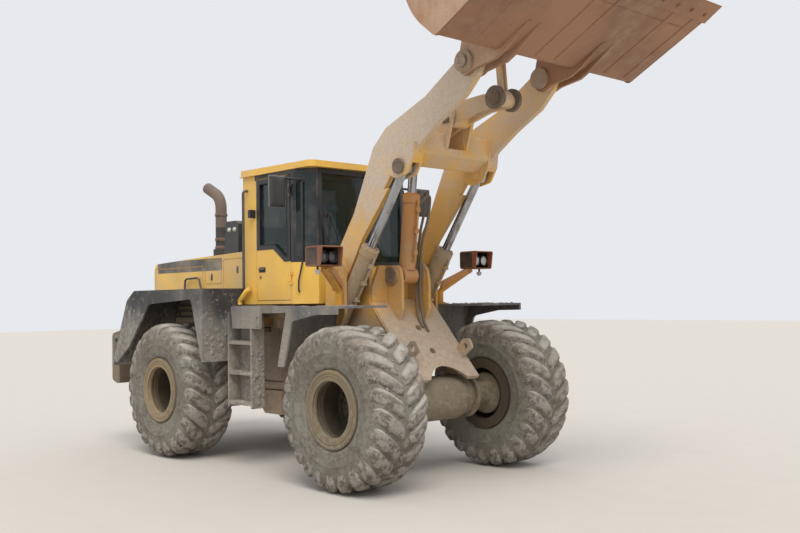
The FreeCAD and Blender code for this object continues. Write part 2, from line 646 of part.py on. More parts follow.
def platforms():
    """Platforms beside the cab, each with a skirt and a ladder of three treads."""
    skin, outer = S.skin, S.deck_out
    shape = [(-590, 690), (335, 690), (335, 820), (110, 940), (110, outer)]
    shape += [(-470, outer), (-590, 900)]
    skirt = [(-440, 1560), (110, 1560), (110, 1740), (-460, 1740)]
    low, back, front = 670, -540, -60
    for side, out in SIDES:
        deck = Piece(f"platform_{side}")
        deck.pad("Z", [outline([(x, out * y) for x, y in shape])], "deck_top - 80", "80")
        start = "deck_out - skin" if out > 0 else "-deck_out"
        deck.pad("Y", [outline(skirt)], start, "skin")
        inner, outer_y = sorted((out * 930, out * outer))
        stringer = [box_loop(inner, low, outer_y, 1740)]
        for x in (back, front - skin):
            deck.pad("X", stringer, str(x), "skin")
        plate = (inner, inner + 12) if out > 0 else (outer_y - 12, outer_y)
        deck.pad("Z", [box_loop(back + 5, plate[0], front - 5, plate[1])], str(low), "1740 - 670")
        tread = [box_loop(back + 5, inner, front - 5, outer_y)]
        for z in (low + 30, low + 370, low + 710):
            deck.pad("Z", tread, str(z), "36")


def cab():
    """The hollow cab: floor and lower walls, posts, roof, glass and what is inside."""
    half, wall = S.cab_half, S.cab_wall
    back, front = S.cab_rear, S.cab_front
    plan = [(back, -half), (front - S.corner_x, -half), (front, -half + S.corner_y)]
    plan += [(front, half - S.corner_y), (front - S.corner_x, half), (back, half)]
    inner = [(back + wall, -half + wall), (front - S.corner_x - 15, -half + wall)]
    inner += [(front - wall, -half + S.corner_y + 20), (front - wall, half - S.corner_y - 20)]
    inner += [(front - S.corner_x - 15, half - wall), (back + wall, half - wall)]
    shell = Piece("cab_shell")
    shell.pad("Z", [outline(plan)], "cab_floor", "cab_top - cab_floor")
    shell.cut("Z", [outline(inner)], "cab_floor + 60", "cab_top - cab_floor")
    low, high = S.cab_floor, S.cab_top
    gap = S.door_gap
    door = [(S.door_rear, low + 40), (S.door_front, low + 40), (S.door_front, high - 50)]
    door += [(S.door_rear, high - 50)]
    shell.cut("Y", [outline(door)], "-cab_half - 10", "2 * cab_half + 20")
    windscreen = [(-half + S.corner_y + 40, 2290, 40), (half - S.corner_y - 40, 2290, 40)]
    windscreen += [(half - S.corner_y - 40, high - 50, 40), (-half + S.corner_y + 40, high - 50, 40)]
    shell.cut("X", [outline(windscreen)], "cab_front - cab_wall - 20", "cab_wall + 40")
    rear_window = [(-half + 180, 2520, 40), (half - 180, 2520, 40)]
    rear_window += [(half - 180, high - 60, 40), (-half + 180, high - 60, 40)]
    shell.cut("X", [outline(rear_window)], "cab_rear - 20", "cab_wall + 40")

    roof = Piece("cab_roof")
    over = [(back - 40, -half - 30, 60), (front + 70, -half + 10, 80)]
    over += [(front + 70, half - 10, 80), (back - 40, half + 30, 60)]
    roof.pad("Z", [outline(over)], "cab_top", "70")
    headroom = box_loop(back + wall, -half + wall, front - S.corner_x, half - wall)
    roof.cut("Z", [headroom], "cab_top - 5", "45")

    glass = Piece("cab_glass")
    clear = S.seat_gap
    edge = S.cab_half - S.corner_y - 40 - clear
    glass.pad("X", [box_loop(-edge, 2290 + clear, edge, high - 50 - clear, 40)],
        "cab_front - 30", "8")
    edge = S.cab_half - 180 - clear
    glass.pad("X", [box_loop(-edge, 2520 + clear, edge, high - 60 - clear, 40)],
        "cab_rear + 20", "8")
    for side, out in SIDES:
        leaf = [(S.door_rear + gap, low + 40 + gap), (S.door_front - gap, low + 40 + gap)]
        leaf += [(S.door_front - gap, high - 50 - gap), (S.door_rear + gap, high - 50 - gap)]
        hole = [(S.door_rear + 70, 2500), (-30, 2500), (180, 2350), (S.door_front - 60, 2350)]
        hole += [(S.door_front - 60, high - 110), (S.door_rear + 70, high - 110)]
        panel = Piece(f"door_{side}")
        start = "cab_half - cab_wall" if out > 0 else "-cab_half"
        panel.pad("Y", [outline(leaf), outline(hole)], start, "cab_wall")
        inset = S.seat_gap
        light = [(S.door_rear + 70 + inset, 2500 + inset), (-30, 2500 + inset)]
        light += [(180, 2350 + inset), (S.door_front - 60 - inset, 2350 + inset)]
        light += [(S.door_front - 60 - inset, high - 110 - inset)]
        light += [(S.door_rear + 70 + inset, high - 110 - inset)]
        hinge_y = out * (half + S.knuckle)
        for z in (2080, 3060):
            leaf_plate = box_loop(S.door_front - 50, out * half, S.door_front, hinge_y)
            panel.pad("Z", [leaf_plate], str(z), "70")
            panel.pad("Z", [ring(S.door_front, hinge_y, S.knuckle)], str(z), "70")
            hole = ring(S.door_front, hinge_y, S.door_pin + S.seat_gap)
            panel.cut("Z", [hole], str(z - 10), "90")
            shell.pad("Z", [ring(S.door_front, hinge_y, S.door_pin)], str(z - 30), "130")
            for low_z in (z - 30, z + 72):
                shell.pad("Z", [box_loop(S.door_front, out * half, S.door_front + 40, hinge_y)],
                    str(low_z), "28")
                shell.pad("Z", [ring(S.door_front, hinge_y, S.knuckle)], str(low_z), "28")
        pane = Piece(f"door_glass_{side}")
        start = "cab_half - cab_wall + 20" if out > 0 else "-cab_half + cab_wall - 28"
        pane.pad("Y", [outline(light)], start, "8")

    seat = Piece("operator_seat")
    base = S.cab_floor + 60
    seat.pad("Z", [box_loop(-380, -160, -60, 160)], str(base), "420")
    seat.pad("Z", [box_loop(-440, -250, 60, 250, 60)], str(base + 420), "130")
    seat.pad("Y", [outline([(-520, base + 480, 40), (-400, base + 480), (-470, base + 1130, 50),
        (-580, base + 1130, 50)])], "-240", "480")
    column = Part.makeCylinder(35, 600, Vector(415, 0, base + 20), Vector(-0.25, 0, 1))
    wheel_at = Vector(420, 0, base) + Vector(-0.25, 0, 1).normalize() * 640
    rim = Part.makeTorus(190, 14, wheel_at, Vector(-0.25, 0, 1))
    spoke = Part.makeCylinder(10, 380, wheel_at - Vector(0, 190, 0), Vector(0, 1, 0))
    cap = Part.makeCylinder(45, 60, wheel_at - Vector(-0.01, 0, 40), Vector(-0.25, 0, 1))
    console = Part.makeBox(120, 300, 480, Vector(390, -150, base))
    solid_piece("steering_column", fused([column, rim, spoke, cap, console]))


def mirrors_and_rails():
    """Mirrors on arms from the front posts, and the handrails."""
    half, r = S.cab_half, S.rail_radius
    at, z = 430, 3200
    post = half - S.corner_y * (at - (S.cab_front - S.corner_x)) / S.corner_x
    mirror = []
    rails = []
    for _, out in SIDES:
        mirror.append(rod_between((at, out * (post - 30), z), (at, out * (half + 300), z), 14))
        mirror.append(box_of(at - 15, at + 20, half + 200, half + 400, 2880, 3210, out))
        y = out * (half + 60)
        x = S.cab_rear + 90
        rails.append(tube([(x, out * half, 1990), (x, y, 1990), (x, y, 3160),
            (x, out * half, 3160)], r, 40))
    start = S.cab_front - S.corner_x
    ends = [(x, half - S.corner_y * (x - start) / S.corner_x) for x in (at - 60, at + 60)]
    body = fused(mirror)
    for _, out in SIDES:
        plan = [Vector(ends[0][0], out * ends[0][1], 0), Vector(ends[1][0], out * ends[1][1], 0)]
        plan += [Vector(ends[1][0], 0, 0), Vector(ends[0][0], 0, 0)]
        inside = Part.Face(Part.makePolygon(plan + plan[:1])).extrude(Vector(0, 0, 4000))
        body = body.cut(inside)
    solid_piece("mirrors", body)
    solid_piece("handrails", fused(rails))


def headlamps():
    """A lamp unit over each front fender: bracket, open frame and two round lamps."""
    top = 2 * S.tyre_radius + S.front_fender_gap
    back, front, low, high = 1160, 1400, 2205, 2410
    frame = [(back, low, 30), (front, low, 20), (front + 30, high, 20), (back, high, 30)]
    inside = [(back + 12, low + 12, 18), (front + 50, low + 12), (front + 50, high - 12)]
    inside += [(back + 12, high - 12, 18)]
    for side, out in SIDES:
        bend = tube([(1060, out * 760, top), (1060, out * 760, 1960),
            (1250, out * 1080, low)], 34, 60)
        foot = Part.makeCylinder(60, 20, Vector(1060, out * 760, top))
        shell = plate_y(frame, out * 1130, 280).cut(plate_y(inside, out * 1130, 256))
        lamps = []
        for y in (1065, 1190):
            lamps.append(Part.makeCone(40, 58, 70, Vector(back + 90, out * y, 2300), Vector(1, 0, 0)))
            lamps.append(Part.makeCylinder(58, 30, Vector(back + 160, out * y, 2300),
                Vector(1, 0, 0)))
            lamps.append(rod_between((back + 6, out * y, 2300), (back + 120, out * y, 2300), 22))
        solid_piece(f"headlamp_{side}", fused([bend, foot, shell] + lamps))


def lift_arms():
    """Two bent arm plates joined by a box beam that carries the bellcrank."""
    px, pz, tx, tz = S.arm_x, S.arm_z, S.tip_x, S.tip_z
    ex, ez, cx, cz = S.lift_eye_x, S.lift_eye_z, S.crank_x, S.crank_z
    rear = [(px - 140, pz + 30, 60), (px - 110, pz + 160), (1120, 2780), (1440, 3440)]
    rear += [(1640, 3620, 120), (2220, 3850), (tx - 130, tz + 80), (tx + 60, tz + 130)]
    front = [(tx + 130, tz + 30), (tx + 110, tz - 110), (tx - 70, tz - 290)]
    front += [(2420, 3590, 200), (2170, 3420, 120), (2060, 3310), (1760, 3100), (1250, 2510)]
    front += [(px + 135, pz + 10), (px + 70, pz - 95), (px - 70, pz - 110, 60)]
    cheek = [(ex - 193, ez - 56), (ex - 33, ez + 124), (ex + 207, ez + 224), (ex + 187, ez + 64)]
    cheek += [(ex + 97, ez - 86, 60), (ex - 63, ez - 116, 60)]
    slot_half = S.eye_half + S.fork_gap
    fork_half = slot_half + S.fork_plate
    parts = []
    for _, out in SIDES:
        y = out * S.arm_y
        parts.append(plate_y(rear + front, y, S.arm_thick))
        parts.append(disc_y(S.tip_x, y, S.tip_z, S.tip_boss, S.arm_thick + 40))
        parts.append(disc_y(S.arm_x, y, S.arm_z, 95, 2 * S.boss_half))
        parts.append(plate_y(cheek, y, 2 * fork_half))
    box = [(1770, 3330, 40), (1900, 3200, 40), (2090, 3330, 40), (2060, 3560, 40), (1850, 3590, 40)]
    parts.append(plate_y(box, 0, 2 * S.arm_y))
    ear = [(1850, 3540), (2090, 3400), (cx + 100, cz + 20, 60), (cx, cz + 110, 60)]
    ear += [(cx - 100, cz + 20, 60)]
    for y in (-150, 150):
        parts.append(plate_y(ear, y, 40))
    body = fused(parts)
    saddle = [(1650, 3250), (1760, 3300), (1860, 3400), (2150, 3400), (2150, 3900), (1650, 3900)]
    cuts = [plate_y(saddle, 0, 240)]
    mouth = [(1600, 3000), (2120, 3000), (2120, 3200), (2010, 3230), (1890, 3260), (1740, 3170)]
    for _, out in SIDES:
        y = out * S.arm_y
        cuts.append(disc_y(S.arm_x, y, S.arm_z, S.arm_pin + S.pin_gap, 300))
        cuts.append(disc_y(S.tip_x, y, S.tip_z, S.arm_pin + S.pin_gap, 300))
        cuts.append(disc_y(S.lift_eye_x, y, S.lift_eye_z, S.eye_radius + 30, 2 * slot_half))
        cuts.append(plate_y(mouth, y, 2 * slot_half))
    cuts.append(disc_y(S.crank_x, 0, S.crank_z, S.arm_pin + S.pin_gap, 400))
    body = body.cut(cuts)
    for _, out in SIDES:
        for inward in (-1, 1):
            head = out * S.arm_y + inward * (fork_half + 12)
            body = body.fuse(disc_y(S.lift_eye_x, head, S.lift_eye_z, S.arm_pin + 12, 24))
    solid_piece("lift_arms", body.removeSplitter())


def bellcrank():
    """The rocker on the cross beam: two cheeks, a hub, and the pins at its ends."""
    ex, ez, cx, cz = S.tilt_eye_x, S.tilt_eye_z, S.crank_x, S.crank_z
    lx, lz = S.link_x, S.link_z
    cheek = [(ex - 65, ez - 70, 60), (ex + 110, ez - 40), (cx - 40, cz - 120), (lx - 250, lz - 90)]
    cheek += [(lx + 50, lz - 80, 70), (lx + 70, lz + 60, 70), (lx - 210, lz + 60)]
    cheek += [(cx + 100, cz + 120, 80), (cx - 120, cz + 90), (ex - 50, ez + 80, 60)]
    web = [(cx - 200, cz - 100), (cx + 200, cz - 20), (cx + 230, cz + 60), (cx - 170, cz + 20)]
    half = S.cheek_y + S.cheek_thick / 2
    parts = [plate_y(cheek, y, S.cheek_thick) for y in (-S.cheek_y, S.cheek_y)]
    parts.append(disc_y(S.crank_x, 0, S.crank_z, S.crank_boss, 2 * half))
    parts.append(plate_y(web, 0, 2 * S.cheek_y))
    hole = S.arm_pin + S.pin_gap
    cuts = [disc_y(x, 0, z, hole, 400) for x, z in ((cx, cz), (lx, lz))]
    body = fused(parts).cut(cuts)
    for y in (-half - 10, half + 10):
        body = body.fuse(disc_y(S.tilt_eye_x, y, S.tilt_eye_z, S.arm_pin + 10, 20))
    solid_piece("bellcrank", body.removeSplitter())
    solid_piece("bellcrank_pin", disc_y(S.crank_x, 0, S.crank_z, S.arm_pin, 340))
    solid_piece("link_pin", headed_pin(S.link_x, 0, S.link_z, half, S.link_head))


def tilt_link():
    """The link from the bellcrank up to the bucket: two flat bars between two eyes."""
    x0, z0, x1, z1 = S.link_x, S.link_z, S.bucket_link_x, S.bucket_link_z
    width = 2 * S.link_half
    hole = S.arm_pin + S.pin_gap
    ends = ((x0, z0, hole + 35), (x1, z1, hole + 25))
    bars = [plate_y(strip(x0, z0, x1, z1, 66), y, S.link_bar) for y in (-28, 28)]
    body = fused(bars + [disc_y(x, 0, z, radius, width) for x, z, radius in ends])
    solid_piece("tilt_link", body.cut([disc_y(x, 0, z, hole, 200) for x, z, _ in ends]))


def bucket():
    """The bucket: a curved wrapper plate, side plates, cutting edge and hinge plates."""
    angle = math.radians(S.bucket_angle)
    skin = S.bucket_skin

    def place(u, w, *radius):
        """A point u along the floor and w square to it, both from the bucket's pin."""
        x = S.tip_x + u * math.cos(angle) - w * math.sin(angle)
        return (x, S.tip_z + u * math.sin(angle) + w * math.cos(angle), *radius)

    heel, low = S.heel_x, -S.heel_z
    edge = heel + S.bucket_floor
    sheet_line = [(edge, low), (heel, low, 90), (214, 170, 700), (250, 560, 700), (350, 739)]
    side = [(edge - 60, low), (heel, low, 40)] + sheet_line[2:]
    side += [(440, 750), (780, 400, 300), (1250, 40, 300), (edge - 60, low + 60)]
    lip = [(edge - 200, low - 24), (edge + 30, low - 4), (edge + 30, low + 4)]
    lip += [(edge - 60, low + 30), (edge - 200, low + 30)]
    ear = [(-110, 20, 60), (-90, -110, 60), (60, -130), (300, low - 46), (440, low - 46)]
    ear += [(780, low - 4), (780, low + 16), (360, low + 16), (305, -15), (252, 140), (241, 330)]
    ear += [(60, 200, 60), (-20, 110)]
    x, z = S.bucket_link_x, S.bucket_link_z
    u = (x - S.tip_x) * math.cos(angle) + (z - S.tip_z) * math.sin(angle)
    w = (z - S.tip_z) * math.cos(angle) - (x - S.tip_x) * math.sin(angle)
    tie = [(240, 100), (262, 500), (u + 98, w + 116, 60), (u - 82, w + 46, 50)]
    tie += [(u - 82, w - 64, 60), (u + 38, w - 104, 60)]
    width = 2 * S.bucket_half
    wrapper = [place(*point) for point in sheet_line]
    face = Part.Face(Part.Wire([e.toShape() for e in folded(wrapper, skin)]))
    face.rotate(Vector(), Vector(1, 0, 0), 90)
    face.translate(Vector(0, S.bucket_half, 0))
    parts = [face.extrude(Vector(0, -width, 0))]
    parts.append(plate_y([place(*point) for point in lip], 0, width))
    reach = S.arm_thick / 2 + 20 + S.fork_gap + 20
    tie_y = S.link_half + S.fork_gap + 20
    for _, out in SIDES:
        parts.append(plate_y([place(*p) for p in side], out * (S.bucket_half - 15), 30))
        for inward in (-1, 1):
            ear_y = out * S.arm_y + inward * reach
            parts.append(plate_y([place(*p) for p in ear], ear_y, 40))
        parts.append(plate_y([place(*p) for p in tie], out * tie_y, 40))
        parts.append(disc_y(x, out * (tie_y + 30), z, S.arm_pin + 10, 24))
    body = fused(parts)
    hole = S.arm_pin + S.pin_gap
    body = body.cut([disc_y(S.tip_x, out * S.arm_y, S.tip_z, hole, 300) for _, out in SIDES])
    solid_piece("bucket", body)
    pins = [headed_pin(S.tip_x, out * S.arm_y, S.tip_z, reach + 20, S.pin_head) for _, out in SIDES]
    solid_piece("bucket_pins", Part.makeCompound(pins))


def cylinder(barrel_name, rod_name, base, eye, length, bore, rod, held, middles, half):
    """A barrel with its base eye, and a rod with its eye, on the line between two pins."""
    full = math.hypot(eye[0] - base[0], eye[1] - base[1])
    barrels = []
    rods = []
    for y in middles:
        def at(distance):
            x, z = along(*base, *eye, distance)
            return x, y, z
        barrel = fused([rod_between(at(S.eye_radius - 20), at(length), bore),
            rod_between(at(length - 90), at(length), bore + 8),
            disc_y(base[0], y, base[1], S.eye_radius, 2 * half)])
        inside = rod_between(at(100), at(length + 20), rod + S.pin_gap)
        pin_hole = disc_y(base[0], y, base[1], S.arm_pin + S.pin_gap, 400)
        barrels.append(barrel.cut([inside, pin_hole]))
        bar = rod_between(at(length - held), at(full - 40), rod)
        rods.append(bar.fuse(disc_y(eye[0], y, eye[1], S.eye_radius, 2 * S.eye_half)))
    solid_piece(barrel_name, Part.makeCompound(barrels))
    solid_piece(rod_name, Part.makeCompound(rods))


def steering_cylinders():
    """The two steering cylinders, lying beside the hinge."""
    x0, y0, x1, y1 = S.steer_base_x, S.steer_base_y, S.steer_eye_x, S.steer_eye_y
    z = S.steer_z
    full = math.hypot(x1 - x0, y1 - y0)
    for side, out in SIDES:
        def at(distance, low=0):
            x, y = along(x0, y0, x1, y1, distance)
            return Vector(x, out * y, z - low)
        barrel = rod_between(at(40), at(S.steer_length), S.steer_bore)
        barrel = barrel.fuse(Part.makeCylinder(58, 100, at(0, 50)))
        inside = rod_between(at(75), at(S.steer_length + 20), S.steer_rod + S.pin_gap)
        barrel = barrel.cut([inside, Part.makeCylinder(32 + S.pin_gap, 200, at(0, 100))])
        solid_piece(f"steer_barrel_{side}", barrel)
        rod = rod_between(at(S.steer_length - 305), at(full - 30), S.steer_rod)
        solid_piece(f"steer_rod_{side}", rod.fuse(Part.makeCylinder(52, 96, at(full, 48))))


TYRE = tyre_form()
for end, ahead in AXLES:
    axle(end, ahead)
    for side, out in SIDES:
        wheel(end, ahead, side, out)
front_chassis()
rear_chassis()
counterweight()
hood()
exhaust()
lamp_box()
fenders()
platforms()
cab()
mirrors_and_rails()
headlamps()
lift_arms()
bellcrank()
tilt_link()
bucket()
cylinder("lift_barrels", "lift_rods", (S.lift_base_x, S.lift_base_z),
    (S.lift_eye_x, S.lift_eye_z), S.lift_length, S.lift_bore, S.lift_rod, 225,
    (-S.arm_y, S.arm_y), S.boss_half)
cylinder("tilt_barrel", "tilt_rod", (S.tilt_base_x, S.tilt_base_z),
    (S.tilt_eye_x, S.tilt_eye_z), S.tilt_length, S.tilt_bore, S.tilt_rod, 300, (0,), 100)
steering_cylinders()

doc.recompute()
for thing in doc.Objects:
    if "Invalid" in thing.State or "Error" in thing.State:
        raise RuntimeError(f"{thing.Label} failed: {thing.State}")
os.makedirs("parts", exist_ok=True)
for piece in pieces:
    shape = piece.Shape
    if shape.isNull() or not shape.isValid() or not shape.Solids:
        raise RuntimeError(f"{piece.Label} has no valid solid")
    shape.exportStep(f"parts/{piece.Label}.step")
    print(piece.Label, len(shape.Solids), round(shape.Volume / 1e9, 4))
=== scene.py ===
import math
import json
import random

import bmesh
import bpy
from mathutils import Matrix, Vector


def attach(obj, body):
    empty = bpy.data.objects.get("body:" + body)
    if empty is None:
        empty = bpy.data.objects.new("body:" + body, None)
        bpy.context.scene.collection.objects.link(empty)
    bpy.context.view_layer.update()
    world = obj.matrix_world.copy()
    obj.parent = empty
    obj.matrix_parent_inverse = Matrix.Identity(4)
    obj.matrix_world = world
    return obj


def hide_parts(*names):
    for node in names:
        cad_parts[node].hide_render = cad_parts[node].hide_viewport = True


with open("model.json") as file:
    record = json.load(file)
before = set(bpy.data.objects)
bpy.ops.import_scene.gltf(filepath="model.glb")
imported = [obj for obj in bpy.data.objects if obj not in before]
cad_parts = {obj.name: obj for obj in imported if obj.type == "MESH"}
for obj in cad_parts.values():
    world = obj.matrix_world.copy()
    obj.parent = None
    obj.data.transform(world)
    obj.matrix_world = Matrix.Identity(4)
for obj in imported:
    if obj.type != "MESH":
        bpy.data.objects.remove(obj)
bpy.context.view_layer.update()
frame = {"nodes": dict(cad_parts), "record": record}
nodes = frame["nodes"]
hingeX = -0.498  # the centre hinge; places below are ahead of it, left of the middle, above ground
sides = (("right", -1), ("left", 1))
ends = (("front", 1), ("rear", -1))
wheels = [(end, ahead, side, out) for end, ahead in ends for side, out in sides]
wheelPlace = {"ahead": 1.65, "out": 1.08, "up": 0.81}


def place(x, y, z):
    return Vector((x + hingeX, y, z))


def mirrored(points, out):  # places given for the left side, on the side that is wanted
    return [place(x, out * y, z) for x, y, z in points]


def wheelCentre(ahead, out):
    return place(wheelPlace["ahead"] * ahead, wheelPlace["out"] * out, wheelPlace["up"])


def circle(count, shift=0.0, turn=0.0):  # cosine and sine of equal steps round a circle
    angles = [2 * math.pi * (k + shift) / count + turn for k in range(count)]
    return [(math.cos(angle), math.sin(angle)) for angle in angles]


def spokes(axis, count, side=None):  # directions of equal steps round an axis
    side = axis.orthogonal().normalized() if side is None else side
    up = axis.cross(side)
    return [side * cosine + up * sine for cosine, sine in circle(count)]


def addObject(name, data):
    made = bpy.data.objects.new(name, data)
    bpy.context.scene.collection.objects.link(made)
    return made


def colour(red, green, blue):  # 0 to 255 as on a screen, into the linear values of a shader
    def linear(part):
        part /= 255
        return part / 12.92 if part <= 0.04045 else ((part + 0.055) / 1.055) ** 2.4

    return (linear(red), linear(green), linear(blue), 1)


print("camera")
cameraSet = {
    "place": (8.943, -7.201, 1.852),
    "yaw": 137.088,
    "pitch": 2.007,
    "roll": -0.834,
    "lens": 43.47,
    "sensor": 36,
    "reach": 400,
}


def addCamera(values):
    yaw, pitch, roll = (math.radians(values[name]) for name in ("yaw", "pitch", "roll"))
    flat = math.cos(pitch)
    ahead = Vector((math.cos(yaw) * flat, math.sin(yaw) * flat, math.sin(pitch)))
    level = Vector((math.sin(yaw), -math.cos(yaw), 0))
    upright = level.cross(ahead)
    right = level * math.cos(roll) + upright * math.sin(roll)
    up = upright * math.cos(roll) - level * math.sin(roll)
    data = bpy.data.cameras.new("camera")
    data.lens = values["lens"]
    data.sensor_width = values["sensor"]
    data.clip_end = values["reach"]
    made = addObject("camera", data)
    turned = Matrix((right, up, -ahead)).transposed().to_4x4()
    made.matrix_world = Matrix.Translation(place(*values["place"])) @ turned
    bpy.context.scene.camera = made


addCamera(cameraSet)
bpy.context.scene.view_settings.view_transform = "Standard"


class Wire:  # a socket: an expression on it adds the Math nodes
    def __init__(self, paint, socket):
        self.paint = paint
        self.socket = socket

    def maths(self, operation, first, second):
        return self.paint.maths(operation, first, second)

    def __add__(self, other):
        return self.maths("ADD", self, other)

    def __radd__(self, other):
        return self.maths("ADD", other, self)

    def __sub__(self, other):
        return self.maths("SUBTRACT", self, other)

    def __rsub__(self, other):
        return self.maths("SUBTRACT", other, self)

    def __mul__(self, other):
        return self.maths("MULTIPLY", self, other)

    def __rmul__(self, other):
        return self.maths("MULTIPLY", other, self)

    def __gt__(self, other):
        return self.maths("GREATER_THAN", self, other)

    def __lt__(self, other):
        return self.maths("LESS_THAN", self, other)


class Paint:  # a material under construction
    def __init__(self, name):
        self.material = bpy.data.materials.new(name)
        self.material.use_nodes = True
        self.tree = self.material.node_tree
        self.tree.nodes.clear()
        self.spot = self.node("ShaderNodeTexCoord", {}, {}, "Object")
        self.facing = self.node("ShaderNodeTexCoord", {}, {}, "Normal")

    def node(self, kind, settings, values, output=0):
        made = self.tree.nodes.new(kind)
        for name, value in settings.items():
            setattr(made, name, value)
        for name, value in values.items():
            if isinstance(value, Wire):
                self.tree.links.new(value.socket, made.inputs[name])
            else:
                made.inputs[name].default_value = value
        return Wire(self, made.outputs[output]) if len(made.outputs) else None

    def maths(self, operation, first, second=0.0):
        return self.node("ShaderNodeMath", {"operation": operation}, {0: first, 1: second})

    def along(self, vector, axis):
        return self.node("ShaderNodeSeparateXYZ", {}, {0: vector}, axis)

    def stretched(self, stretch):
        if not stretch:
            return self.spot
        settings = {"operation": "MULTIPLY"}
        return self.node("ShaderNodeVectorMath", settings, {0: self.spot, 1: stretch})

    def noise(self, scale, detail=4, roughness=0.55, stretch=None):
        values = {"Vector": self.stretched(stretch), "Scale": scale, "Detail": detail}
        return self.node("ShaderNodeTexNoise", {}, {**values, "Roughness": roughness})

    def cells(self, scale):
        return self.node("ShaderNodeTexVoronoi", {}, {"Vector": self.spot, "Scale": scale})

    def fade(self, value, low, high):  # 0 at low, 1 at high
        settings = {"interpolation_type": "SMOOTHSTEP"}
        values = {"Value": value, "From Min": low, "From Max": high}
        return self.node("ShaderNodeMapRange", settings, values)

    def mix(self, factor, first, second):  # sockets 6 and 7 take the colours, socket 2 gives the result
        values = {0: factor, 6: first, 7: second}
        return self.node("ShaderNodeMix", {"data_type": "RGBA"}, values, 2)

    def within(self, vector, axis, low, high):  # 1 between two places along an axis
        where = self.along(vector, axis)
        return (where > low) * (where < high)

    def edges(self, radius, level=0.985, turned=0.9):  # 1 along sharp edges
        soft = self.node("ShaderNodeBevel", {"samples": 4}, {"Radius": radius})
        hard = self.node("ShaderNodeNewGeometry", {}, {}, "Normal")
        settings = {"operation": "DOT_PRODUCT"}
        alike = self.node("ShaderNodeVectorMath", settings, {0: soft, 1: hard}, "Value")
        return self.fade(alike, level, turned)

    def shade(self, tint, share):
        return tuple(part * share for part in tint[:3]) + (1,)

    def bump(self, height, strength, distance):
        values = {"Height": height, "Strength": strength, "Distance": distance}
        return self.node("ShaderNodeBump", {}, values)

    def finish(self, values):
        shader = self.node("ShaderNodeBsdfPrincipled", {}, values)
        self.node("ShaderNodeOutputMaterial", {}, {0: shader})
        return self.material


print("materials")
# a paint's colours, then how much dust lies everywhere, on top, low down, between which heights, in
# patches and in streaks, then its chips, roughness and relief
tintNames = ("base", "worn", "dust", "rust")
shareNames = ("layer", "top", "low", "lowFrom", "lowTo", "patches", "streaks", "chips", "rough", "bump")


def lookOf(tints, shares, **more):
    named = {name: colour(*tint) for name, tint in zip(tintNames, tints)}
    return {**named, **dict(zip(shareNames, shares)), **more}


